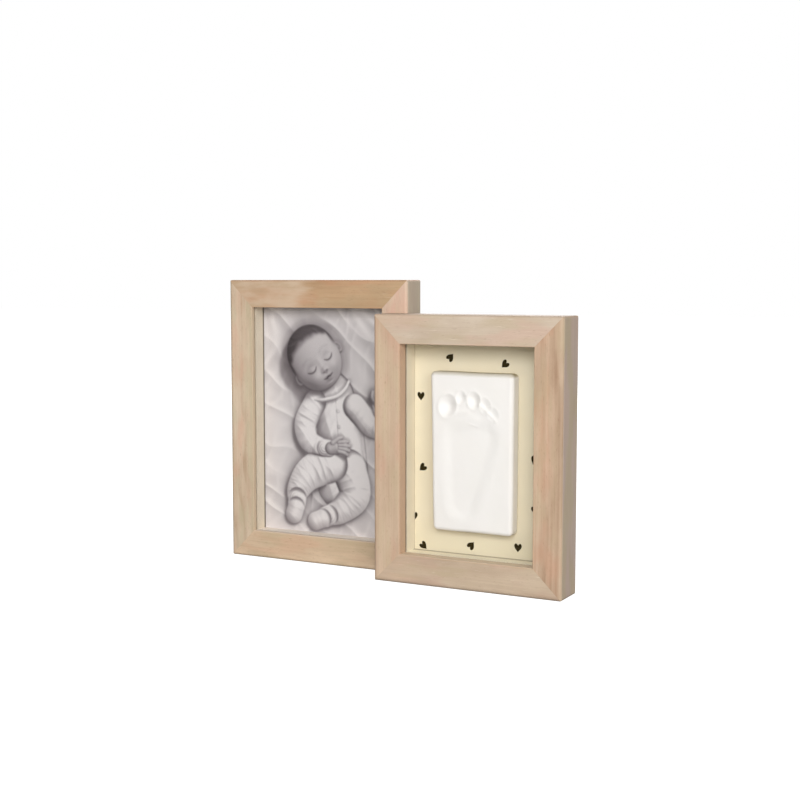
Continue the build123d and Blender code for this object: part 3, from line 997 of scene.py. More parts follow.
@dataclass
class DisplayFrame:
    """One wooden frame with its pane, spacers, backing board, turn buttons and fixings."""

    prefix: str
    woods: dict[Member, WoodFinish]
    spacer: FibreFinish
    # the bottom spacer's finish: a lighter copy of the spacer finish, painted light for its up-facing top
    lit_ledge: FibreFinish
    groups: ShaderGroups
    shared: dict[str, Material]
    screw_turns: tuple[float, ...]
    head_radius: float = 2.8
    head_height: float = 1.4
    shank_radius: float = 1.25
    slot_length: float = 3.4
    slot_width: float = 0.7
    slot_depth: float = 0.7
    segments: int = 40
    outline: FrameOutline = field(init=False)

    def __post_init__(self) -> None:
        """Reads the frame's outline."""
        self.outline = FrameOutline.read(self.prefix)

    def node(self, ending: str) -> Piece:
        """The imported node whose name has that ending."""
        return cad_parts[f"{self.prefix}_{ending}"]

    def dress(self) -> list[str]:
        """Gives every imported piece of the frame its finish.

        Returns:
            The names of the dressed pieces.
        """
        done = []
        for member, wood in self.woods.items():
            name = f"{self.prefix}_{member.value}_wood"
            wear(self.node(member.value), wood.material(name, self.groups, self.outline, member.grain))
            done.append(member.value)
        strips = self.spacer.material(f"{self.prefix}_spacer_strip", self.groups)
        lit_ledge = self.lit_ledge.material(f"{self.prefix}_ledge_strip", self.groups)
        for side in ("top", "bottom", "left", "right"):
            wear(self.node(f"{side}_spacer"), lit_ledge if side == "bottom" else strips)
            done.append(f"{side}_spacer")
        for ending, finish in (("pane", "clear_acrylic"), ("backing_board", "brown_board"),
                               ("corner_nails", "nail_steel"), ("magnets", "nickel"),
                               *((f"{level}_{hand}_button", "brassed_steel")
                                 for level in ("upper", "lower") for hand in ("left", "right"))):
            wear(self.node(ending), self.shared[finish])
            done.append(ending)
        return done

    def add_screws(self, tree: NodeGroup) -> Piece:
        """Makes the frame's four screws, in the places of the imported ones.

        Args:
            tree: the screws' geometry tree.

        Returns:
            The piece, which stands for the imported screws.
        """
        low, high = millimetres(f"{self.prefix}_button_screws")
        inset, seat = self.head_radius, high[1] - self.head_height
        places = [(x, seat, z) for x in (low[0] + inset, high[0] - inset)
                  for z in (low[2] + inset, high[2] - inset)]
        made = grown(tree, f"{self.prefix}_screws", places, self.screw_turns, {
            "Head Radius": self.head_radius * MM, "Head Height": self.head_height * MM,
            "Shank Radius": self.shank_radius * MM, "Shank Length": (seat - low[1]) * MM,
            "Slot Length": self.slot_length * MM, "Slot Width": self.slot_width * MM,
            "Slot Depth": self.slot_depth * MM, "Segments": self.segments,
            "Material": self.shared["brassed_steel"],
        })
        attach(made, self.prefix)
        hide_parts(f"{self.prefix}_button_screws")
        return made


@dataclass(frozen=True)
class Heart:
    """One printed heart: its middle from the card's middle in millimetres, and where its point lies."""

    across: float
    up: float
    point_angle: float

    @property
    def turn(self) -> float:
        """Its turn about Y in degrees from a heart whose point is down, clockwise from the front."""
        down = -90.0
        return down - self.point_angle


@dataclass
class HeartCard:
    """The cream card and its printed hearts."""

    groups: ShaderGroups
    # the card is darker towards its bottom: painted shade
    card: FibreFinish = FibreFinish((239, 229, 203), (233, 221, 192), (214, 197, 166), 26.0, 0.3, 0.45,
                                    0.08, 0.8, 0.02, 0.3, 0.2, line=(224, 215, 188), shade_line_share=0.75,
                                    shade_line_span=(38.0, 19.0), shade_line_axis=2)
    ink: FibreFinish = FibreFinish((46, 36, 6), (34, 26, 2), (74, 62, 28), 3.0, 0.3, 0.5, 0.35, 0.7,
                                   0.02, 0.3, 0.1)
    width: float = 4.7
    height: float = 5.2
    thickness: float = 0.04
    steps: int = 48
    hearts: tuple[Heart, ...] = (
        Heart(-19.0, 54.5, 49.0), Heart(15.8, 51.0, 222.0), Heart(-38.7, 30.4, 270.0),
        Heart(-37.6, -12.8, 222.0), Heart(-43.2, -42.9, 272.0), Heart(-36.6, -60.4, 317.0),
        Heart(-4.9, -57.1, 51.0), Heart(25.0, -56.0, 268.0), Heart(34.8, -4.0, 250.0),
        Heart(35.7, -33.1, 285.0),
    )

    def dress(self) -> None:
        """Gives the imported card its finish."""
        wear(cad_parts["heart_card"], self.card.material("heart_card_paper", self.groups))

    def add_hearts(self, tree: NodeGroup) -> Piece:
        """Prints the hearts on the card's face.

        Args:
            tree: the hearts' geometry tree.

        Returns:
            The piece.
        """
        low, high = millimetres("heart_card")
        middle = (low + high) / 2
        places = [(middle[0] + h.across, low[1], middle[2] + h.up) for h in self.hearts]
        made = grown(tree, "printed_hearts", places, [h.turn for h in self.hearts], {
            "Width": self.width * MM, "Height": self.height * MM, "Thickness": self.thickness * MM,
            "Steps": self.steps, "Material": self.ink.material("heart_ink", self.groups),
        })
        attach(made, "print_frame")
        return made


def stepped(low: float, high: float, values: Array) -> Array:
    """A smooth step of the values, from 0 at low to 1 at high."""
    share = np.clip((values - low) / (high - low), 0.0, 1.0)
    return share * share * (3.0 - 2.0 * share)


def soft_noise(x: Array, y: Array, seed: float) -> Array:
    """Smooth noise from -1 to 1, with about one bump to each unit.

    Args:
        x: places along the first axis.
        y: places along the second axis.
        seed: picks the pattern.

    Returns:
        The noise at each place.
    """
    step_i, step_j, step_seed, scatter = 127.1, 311.7, 74.7, 43758.5453

    def corner(i: Array, j: Array) -> Array:
        """A fixed scattered value for each whole place."""
        scattered = np.sin(i * step_i + j * step_j + seed * step_seed) * scatter
        return 2.0 * (scattered - np.floor(scattered)) - 1.0

    i, j = np.floor(x), np.floor(y)
    u, v = stepped(0.0, 1.0, x - i), stepped(0.0, 1.0, y - j)
    low = corner(i, j) * (1 - u) + corner(i + 1, j) * u
    high = corner(i, j + 1) * (1 - u) + corner(i + 1, j + 1) * u
    return low * (1 - v) + high * v


def hump(values: Array, size: Union[float, Array] = 1.0) -> Array:
    """A smooth bump, 1 where the values are 0, and about as wide to each side as the size."""
    return np.exp(-(values / size) ** 2)


def spun(x: Array, y: Array, angle: float) -> tuple[Array, Array]:
    """The places seen along axes turned anticlockwise by an angle in radians."""
    cosine, sine = math.cos(angle), math.sin(angle)
    return x * cosine + y * sine, -x * sine + y * cosine


def beside(x: Array, y: Array, start: Pair, end: Pair) -> tuple[Array, Array]:
    """Measures places against a straight stretch.

    Args:
        x: places along the first axis.
        y: places along the second axis.
        start: where the stretch starts.
        end: where it ends.

    Returns:
        How far along the stretch each place is, as a share, and how far off it.
    """
    dx, dy = end[0] - start[0], end[1] - start[1]
    share = np.clip(((x - start[0]) * dx + (y - start[1]) * dy) / (dx * dx + dy * dy), 0, 1)
    return share, np.hypot(x - start[0] - share * dx, y - start[1] - share * dy)


@dataclass(frozen=True)
class Rolling:
    """The smooth rolling of a surface: its height, its size across and up, and its pattern."""

    height: float
    across: float
    up: float
    seed: float

    def at(self, x: Array, y: Array) -> Array:
        """How high it stands at each place."""
        return self.height * soft_noise(x / self.across, y / self.up, self.seed)


@dataclass(frozen=True)
class Swell:
    """A soft rise or hollow: its middle, its half sizes, how high it is and how it is turned, in degrees."""

    across: float
    up: float
    half_across: float
    half_up: float
    lift: float
    turn: float = 0.0
    paired: bool = False

    def shares(self, a: Array, b: Array, side: int = 1) -> tuple[Array, Array]:
        """The places along the swell's own across and up, as shares of its half sizes."""
        u, v = spun(a - side * self.across, b - self.up, math.radians(self.turn * side))
        return u / self.half_across, v / self.half_up

    def value(self, a: Array, b: Array) -> Array:
        """Works out how strong the swell is, once or on both sides.

        Args:
            a: places across.
            b: places up.

        Returns:
            Its strength at each place.
        """
        total, steepness = np.zeros_like(a), 1.6
        for side in ((-1, 1) if self.paired else (1,)):
            u, v = self.shares(a, b, side)
            total += np.exp(-(u * u + v * v) * steepness)
        return total


@dataclass(frozen=True)
class Ridge:
    """A low ridge of pushed-up clay along a line, in millimetres."""

    start: Pair
    end: Pair
    half_width: float
    lift: float


@dataclass(frozen=True)
class Toe:
    """One toe's pit, as shares of the foot's size and of the deepest pit."""

    across: float
    along: float
    half_width: float
    half_length: float
    depth: float


@dataclass
class ClayPrint:
    """The clay slab with its pressed footprint, in millimetres."""

    groups: ShaderGroups
    middle: Pair = (59.0, 79.1)
    half_width: float = 25.85
    half_height: float = 47.2
    front: float = -11.8
    back: float = -2.8
    corner_radius: float = 3.0
    edge_radius: float = 2.4
    back_radius: float = 0.8
    rim_lift: float = 0.05
    corner_shares: tuple[Pair, ...] = ((-0.971, -0.998), (0.994, -1.000), (-1.048, 1.002), (1.021, 0.994))
    spacing: float = 0.42
    foot_place: Pair = (60.0, 38.0)
    foot_width: float = 38.0
    foot_length: float = 78.0
    sole_rounds: tuple[Triple, ...] = ((-0.237, 0.628, 0.303), (0.132, 0.641, 0.316),
                                       (-0.158, 0.154, 0.316))
    sole_depth: float = 1.05
    sole_slope: float = 7.5
    toe_depth: float = 2.0
    toes: tuple[Toe, ...] = (
        Toe(-0.43, 0.876, 0.122, 0.074, 1.05), Toe(-0.205, 0.944, 0.07, 0.044, 0.45),
        Toe(0.015, 0.924, 0.092, 0.055, 0.85), Toe(0.2, 0.888, 0.08, 0.05, 0.42),
        Toe(0.33, 0.828, 0.08, 0.046, 0.3),
    )
    finish: FibreFinish = FibreFinish((253, 250, 246), (249, 246, 240), (240, 234, 222), 22.0, 0.5, 0.45,
                                      0.05, 0.8, 0.03, 0.3, 0.25)
    ridges: tuple[Ridge, ...] = (
        Ridge((64.5, 107.5), (74.5, 99.0), 1.0, 0.42), Ridge((57.8, 96.2), (62.5, 95.0), 0.6, 0.22),
        Ridge((45.5, 101.5), (56.5, 103.5), 1.5, 0.3),
    )
    dimple: Swell = Swell(64.5, 101.5, 4.0, 2.6, 0.35)
    edge_waver: Rolling = Rolling(0.9, 7.0, 9.0, 11)
    rolls: tuple[Rolling, ...] = (Rolling(0.1, 9.0, 11.0, 8), Rolling(0.03, 2.4, 2.8, 9))
    # painted shade along the slab's edges, most along its top, less down its right side and along its bottom:
    # its tint, where it falls and how strong it is
    edge_shade_tint: Rgb = (168, 156, 124)
    top_band: Pair = (2.9, 0.5)
    right_band: Pair = (1.2, 0.0)
    low_band: Pair = (0.8, 0.0)
    behind_band: Pair = (0.6, 5.0)
    top_least: float = 0.55
    top_more: float = 0.4
    side_share: float = 0.1

    def _lines(self, half: float) -> Array:
        """Places the grid's lines across one side, close together in the rounded edges.

        Args:
            half: the side's half size.

        Returns:
            The lines' places from the middle.
        """
        steps = 7  # in each rounded edge
        angles = np.linspace(0.0, math.pi / 2, steps + 1)
        insets = self.edge_radius * (1.0 - np.cos(angles))
        inner = half - self.edge_radius
        count = int(round(2 * inner / self.spacing))
        flat = np.linspace(-inner, inner, count + 1)
        return np.concatenate((-half + insets[:-1], flat, (half - insets[:-1])[::-1]))

    def _outline(self, x: Array, z: Array, inset: float = 0.0) -> tuple[Array, Array]:
        """Moves points of the plain rectangle to the slab's rounded, slightly uneven outline.

        Args:
            x: places across, from the middle.
            z: places up, from the middle.
            inset: how far the outline is drawn in.

        Returns:
            The moved places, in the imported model's frame.
        """
        x, z = x * (1 - inset / self.half_width), z * (1 - inset / self.half_height)
        over_x = np.abs(x) - (self.half_width - self.corner_radius)
        over_z = np.abs(z) - (self.half_height - self.corner_radius)
        rounded = (over_x > 0) & (over_z > 0)
        reach = np.hypot(over_x, over_z)
        tiny = 1e-9
        shrink = np.where(rounded, np.maximum(over_x, over_z) / np.maximum(reach, tiny), 1.0)
        x = np.where(rounded, np.sign(x) * (np.abs(x) - over_x * (1 - shrink)), x)
        z = np.where(rounded, np.sign(z) * (np.abs(z) - over_z * (1 - shrink)), z)
        s, t = x / self.half_width, z / self.half_height
        low_left, low_right, high_left, high_right = [np.array(c) for c in self.corner_shares]
        made = []
        for axis, half in ((0, self.half_width), (1, self.half_height)):
            low = low_left[axis] * (1 - s) / 2 + low_right[axis] * (1 + s) / 2
            high = high_left[axis] * (1 - s) / 2 + high_right[axis] * (1 + s) / 2
            made.append((low * (1 - t) / 2 + high * (1 + t) / 2) * half)
        # hand-cut edges waver a little
        wave, long_wave = 0.16, 23.0
        made[0] = made[0] + wave * s * soft_noise(made[1] / long_wave, made[0] * 0 + 0.5, 5)
        made[1] = made[1] + wave * t * soft_noise(made[0] / (long_wave / 2), made[1] * 0 + 0.5, 6)
        return made[0] + self.middle[0], made[1] + self.middle[1]

    def _sole(self, x: Array, z: Array) -> Array:
        """Works out how deep the sole lies at each place, with the low rim that it pushed up.

        Args:
            x: places across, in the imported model's frame.
            z: places up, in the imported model's frame.

        Returns:
            The depth in millimetres.
        """
        foot_x, foot_z = self.foot_place
        sides, outside = 96, -1e9
        reach = np.full(x.shape, outside)
        for bend in np.linspace(0.0, 2 * math.pi, sides, endpoint=False):
            normal = (math.cos(bend), math.sin(bend))
            support = max(normal[0] * (foot_x + across * self.foot_width)
                          + normal[1] * (foot_z + along * self.foot_length) + share * self.foot_width
                          for across, along, share in self.sole_rounds)
            reach = np.maximum(reach, normal[0] * x + normal[1] * z - support)
        reach = reach + self.edge_waver.at(x, z)
        wall_top, rim_at, rim_size = 0.4, 1.6, 1.5
        inside = stepped(wall_top, -self.sole_slope, reach)
        # deepest under the ball and the heel
        ball_at, ball_size, heel_at, heel_size, share = 0.66, 0.2, 0.13, 0.17, 0.42
        along = (z - foot_z) / self.foot_length
        ball, heel = hump(along - ball_at, ball_size), hump(along - heel_at, heel_size)
        level = self.sole_depth * (share + share * ball + share * heel)
        return level * inside - self.rim_lift * hump(reach - rim_at, rim_size)

    def _pressed(self, x: Array, z: Array) -> Array:
        """Works out how deep the print lies at each place.

        Args:
            x: places across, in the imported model's frame.
            z: places up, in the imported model's frame.

        Returns:
            The depth in millimetres; raised places are below zero.
        """
        depth = self._sole(x, z)
        foot_x, foot_z = self.foot_place
        first_lean, lean_step, half = -14.0, 9.0, 0.5
        bowl_reach, bowl_power, clear_band, clear_share = 1.25, 0.8, (1.15, 0.6), 0.7
        rim_at, rim_size, rim_share = 1.28, 0.2, 0.22
        for number, toe in enumerate(self.toes):
            toe_x, toe_z = foot_x + toe.across * self.foot_width, foot_z + toe.along * self.foot_length
            wide, long = toe.half_width * self.foot_width, toe.half_length * self.foot_length
            a, b = spun(x - toe_x, z - toe_z, math.radians(first_lean + lean_step * number))
            a, b = a / wide, b / long
            far = np.sqrt(a * a + b * b)
            bowl = half + half * np.cos(np.clip(far / bowl_reach, 0, 1) * math.pi)
            bowl = np.where(far < bowl_reach, bowl, 0.0) ** bowl_power
            depth = depth * (1 - clear_share * stepped(*clear_band, far)) + self.toe_depth * toe.depth * bowl
            depth = depth - rim_share * toe.depth * hump(far - rim_at, rim_size)
        for ridge in self.ridges:
            depth = depth - ridge.lift * hump(beside(x, z, ridge.start, ridge.end)[1], ridge.half_width)
        depth = depth + self.dimple.lift * hump(np.hypot(*self.dimple.shares(x, z)))
        for roll in self.rolls:
            depth = depth + roll.at(x, z)
        return depth

    def _painted_edge_shade(self, plain_x: Array, plain_z: Array, y: Array) -> Array:
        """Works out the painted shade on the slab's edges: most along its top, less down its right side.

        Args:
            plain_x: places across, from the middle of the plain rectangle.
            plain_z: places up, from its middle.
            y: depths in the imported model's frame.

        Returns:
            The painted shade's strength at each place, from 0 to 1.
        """
        behind = stepped(*[self.front + edge for edge in self.behind_band], y)
        top = stepped(*self.top_band, self.half_height - plain_z) * (self.top_least + self.top_more * behind)
        right = stepped(*self.right_band, self.half_width - plain_x)
        low = stepped(*self.low_band, self.half_height + plain_z)
        return np.clip(np.maximum(top, self.side_share * behind * np.maximum(right, low)), 0.0, 1.0)

    def material(self) -> Material:
        """Builds the white clay, darkened by painted shade along its edges where its shade attribute says so.

        Returns:
            The material.
        """
        graph = MaterialGraph("white_clay")
        made = self.finish.group(graph, self.groups, linear(self.finish.base))
        # painted shade: the edges darken towards the shade tint as the attribute gives
        dull = graph.node("ShaderNodeAttribute", attribute_name="edge_painted_shade").outputs["Fac"]
        colour = graph.blend(dull, made.outputs["Color"], linear(self.edge_shade_tint))
        graph.shader.inputs["Specular IOR Level"].default_value = self.finish.specular
        return graph.surface(colour, *made.outputs[1:], self.finish.relief, self.finish.strength)

    def build(self) -> Piece:
        """Builds the slab.

        Returns:
            The piece, which stands for the packed clay print.
        """
        across, up = self._lines(self.half_width), self._lines(self.half_height)
        plain_x, plain_z = np.meshgrid(across, up)
        inset = np.minimum(self.half_width - np.abs(plain_x), self.half_height - np.abs(plain_z))
        short = np.clip(self.edge_radius - inset, 0.0, self.edge_radius)
        drop = self.edge_radius - np.sqrt(np.maximum(self.edge_radius ** 2 - short ** 2, 0.0))
        x, z = self._outline(plain_x, plain_z)
        flat_band, side_steps, round_steps, crease = (0.4, 4.5), 6, 5, 60.0
        y = self.front + drop + self._pressed(x, z) * stepped(*flat_band, inset)
        points = [np.stack((x, y, z), axis=-1).reshape(-1, 3)]
        # each point's painted edge shade
        painted_edge_shades = [self._painted_edge_shade(plain_x, plain_z, y).ravel()]

        rows, columns = plain_x.shape
        faces, rim = grid_faces(rows, columns)
        rim_x, rim_z = plain_x.ravel()[rim], plain_z.ravel()[rim]
        side_top = self.front + self.edge_radius
        side_end = self.back - self.back_radius
        rings = [(level, 0.0) for level in np.linspace(side_top, side_end, side_steps)[1:]]
        rings += [(side_end + self.back_radius * math.sin(turn), self.back_radius * (1 - math.cos(turn)))
                  for turn in np.linspace(0.0, math.pi / 2, round_steps)[1:]]
        last, total = rim.tolist(), rows * columns
        for level, inset_now in rings:
            ring_x, ring_z = self._outline(rim_x, rim_z, inset_now)
            points.append(np.stack((ring_x, np.full(ring_x.shape, level), ring_z), axis=-1))
            painted_edge_shades.append(self._painted_edge_shade(rim_x, rim_z, np.full(ring_x.shape, level)))
            fresh = list(range(total, total + len(last)))
            total += len(last)
            faces += ring_faces(last, fresh)
            last = fresh
        points.append(np.array([[self.middle[0], self.back, self.middle[1]]]))
        faces += fan_faces(last, total)
        made = new_mesh_object("clay_footprint", np.concatenate(points), faces, crease)
        layer = made.data.attributes.new("edge_painted_shade", "FLOAT", "POINT")
        layer.data.foreach_set("value", np.append(np.concatenate(painted_edge_shades), 0.0).astype(np.float32))
        wear(made, self.material())
        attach(made, "print_frame")
        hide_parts("clay_print")
        return made


Knot = tuple[float, float, float, float]


def blurred(values: Array, radius: float) -> Array:
    """Blurs a picture evenly.

    Args:
        values: the picture.
        radius: how far it spreads, in cells.

    Returns:
        The blurred picture.
    """
    passes, reach = 3, max(int(round(radius)), 1)
    width = 2 * reach + 1
    for axis in (0, 1):
        for _ in range(passes):
            pad = [(0, 0), (0, 0)]
            pad[axis] = (reach + 1, reach)
            total = np.cumsum(np.pad(values, pad, mode="edge"), axis=axis)
            count = values.shape[axis]
            high = np.take(total, range(width, count + width), axis=axis)
            low = np.take(total, range(0, count), axis=axis)
            values = (high - low) / width
    return values


def shifted(values: Array, across: int, up: int) -> Array:
    """Moves a picture's window, with its border carried on.

    Args:
        values: the picture.
        across: how many cells to the right.
        up: how many cells up.

    Returns:
        The picture as seen from there.
    """
    rows = np.clip(np.arange(values.shape[0]) + up, 0, values.shape[0] - 1)
    columns = np.clip(np.arange(values.shape[1]) + across, 0, values.shape[1] - 1)
    return values[rows][:, columns]


def dome(share: Array) -> Array:
    """The height of a half round of radius 1 at a share of its radius."""
    return np.sqrt(np.clip(1.0 - share * share, 0.0, 1.0))


def folds(u: Array, v: Array, seed: float, size: float, depth: float) -> Array:
    """Soft folds of cloth that run along v.

    Args:
        u: places across the folds, in millimetres.
        v: places along them.
        seed: picks the pattern.
        size: how wide a fold is.
        depth: how high it stands.

    Returns:
        The folds' height.
    """
    bunching, sharpness, sunk, least, uneven = 1.1, 1.4, 0.45, 0.55, 0.45
    bunched = u + size * bunching * soft_noise(u / (3 * size), v / (5 * size), seed)
    ridge = (1 - np.abs(np.sin(bunched / size))) ** sharpness - sunk
    return depth * ridge * (least + uneven * soft_noise(u / (2.4 * size), v / (4 * size), seed + 7))


def smooth_line(points: Sequence[Sequence[float]], steps: int = 7) -> Array:
    """Adds places along a smooth line through some points.

    Args:
        points: the points, with any further values to carry along.
        steps: how many places each stretch gets.

    Returns:
        The places.
    """
    given = np.array(points, float)
    ends = np.vstack([2 * given[0] - given[1], given, 2 * given[-1] - given[-2]])
    made = []
    for k in range(1, len(ends) - 2):
        before, start, end, after = ends[k - 1:k + 3]
        for t in np.linspace(0, 1, steps, endpoint=False):
            made.append(0.5 * (2 * start + (end - before) * t
                               + (2 * before - 5 * start + 4 * end - after) * t ** 2
                               + (3 * start - before - 3 * end + after) * t ** 3))
    made.append(given[-1])
    return np.array(made)


@dataclass
class Relief:
    """A soft relief on a sheet: heights and tones on a grid, in millimetres from the sheet's middle."""

    x: Array
    y: Array
    height: Array
    tone: Array
    pitch: float

    @classmethod
    def blank(cls, width: float, height: float, columns: int, rows: int, tone: float) -> "Relief":
        """Makes a flat relief for a sheet.

        Args:
            width: the sheet's width.
            height: its height.
            columns: how many grid points lie across it.
            rows: how many lie up it.
            tone: its tone.

        Returns:
            The relief.
        """
        x, y = np.meshgrid(np.linspace(-width / 2, width / 2, columns),
                           np.linspace(-height / 2, height / 2, rows))
        return cls(x, y, np.zeros_like(x), np.full_like(x, tone), width / (columns - 1))

    def window(self, low: Pair, high: Pair) -> "Relief":
        """Takes a part of the relief, which shares its grid.

        Args:
            low: the part's lower left corner.
            high: its upper right corner.

        Returns:
            The part.
        """
        columns, rows = [slice(int(np.searchsorted(line, low[k])), int(np.searchsorted(line, high[k])) + 1)
                         for k, line in enumerate((self.x[0], self.y[:, 0]))]
        return Relief(*[grid[rows, columns] for grid in (self.x, self.y, self.height, self.tone)],
                      self.pitch)

    def lay(self, form: Array, cover: Array, tone: Union[float, Array]) -> None:
        """Lays a form with its height and its tone, 0 for black to 1, where its cover is 1."""
        self.height += (form - self.height) * cover
        self.tone += (tone - self.tone) * cover


@dataclass(frozen=True)
class Limb:
    """A rounded form through knots of (x, y, radius, lift), with its tone and its folds."""

    knots: tuple[Knot, ...]
    tone: float
    rim: float = 0.96
    fold_size: float = 0.0
    fold_depth: float = 0.0
    rib_pitch: float = 0.0
    rib_depth: float = 0.0
    seed: float = 20.0
    flatness: float = 1.0
    softness: float = 2.0

    def measure(self, part: Relief) -> tuple[Array, Array, Array]:
        """Measures the limb on a part of the relief.

        Args:
            part: the part of the relief.

        Returns:
            The limb's height, how far along it each place is, and how far to its side as a share.
        """
        line = smooth_line(self.knots)
        lowest, widest = -1e3, 9.0
        best = np.full_like(part.x, lowest)
        along = np.zeros_like(part.x)
        side = np.full_like(part.x, widest)
        run = 0.0
        for (ax, ay, ra, la), (bx, by, rb, lb) in zip(line[:-1], line[1:]):
            dx, dy = bx - ax, by - ay
            span = math.hypot(dx, dy)
            t = np.clip(((part.x - ax) * dx + (part.y - ay) * dy) / span ** 2, 0, 1)
            radius = ra + (rb - ra) * t
            px, py = part.x - (ax + t * dx), part.y - (ay + t * dy)
            share = np.hypot(px, py) / radius
            rise = np.where(share < 1, radius * dome(share) ** self.softness * self.flatness,
                            (1 - share) * radius)
            nearer = share < np.abs(side)
            best = np.where(nearer, rise + la + (lb - la) * t, best)
            along = np.where(nearer, run + t * span, along)
            side = np.where(nearer, np.where(px * dy - py * dx > 0, share, -share), side)
            run += span
        return best, along, side

    def lay_on(self, relief: Relief) -> None:
        """Lays the limb on the relief.

        Args:
            relief: the relief.
        """
        xs, ys, radii = [[knot[k] for knot in self.knots] for k in range(3)]
        margin, fade_band, wide, coarser, weaker = 1.3, (1.05, 0.5), 5, 1.7, 0.5
        reach = margin * max(radii)
        part = relief.window((min(xs) - reach, min(ys) - reach), (max(xs) + reach, max(ys) + reach))
        rise, along, side = self.measure(part)
        if self.fold_depth:
            fade = stepped(*fade_band, np.abs(side))
            rise = rise + folds(along, side * wide, self.seed, self.fold_size, self.fold_depth) * fade
            rise = rise + folds(part.x + part.y, part.x - part.y, self.seed + 1,
                                self.fold_size * coarser, self.fold_depth * weaker) * fade
        if self.rib_depth:
            radius = float(np.mean(radii))
            rise = rise + self.rib_depth * np.sin(side * radius * 2 * math.pi / self.rib_pitch)
        part.lay(rise, stepped(1.0, self.rim, np.abs(side)), self.tone)


@dataclass(frozen=True)
class Line:
    """A fine soft line on the head through points of (across, up, half width)."""

    points: tuple[Triple, ...]
    darkness: float
    depth: float = 0.0
    paired: bool = False

    def value(self, a: Array, b: Array) -> Array:
        """Works out how strong the line is, once or on both sides.

        Args:
            a: places across.
            b: places up.

        Returns:
            Its strength at each place.
        """
        total = np.zeros_like(a)
        for side in ((-1, 1) if self.paired else (1,)):
            line = smooth_line([(side * p[0], p[1], p[2]) for p in self.points], 4)
            for start, end in zip(line[:-1], line[1:]):
                share, gap = beside(a, b, start, end)
                total = np.maximum(total, hump(gap, start[2] + (end[2] - start[2]) * share))
        return total


@dataclass(frozen=True)
class Crease:
    """A long soft crease in the bed sheet: the direction across it, how far off it lies, and its size."""

    toward: Pair
    offset: float
    half_width: float
    lift: float


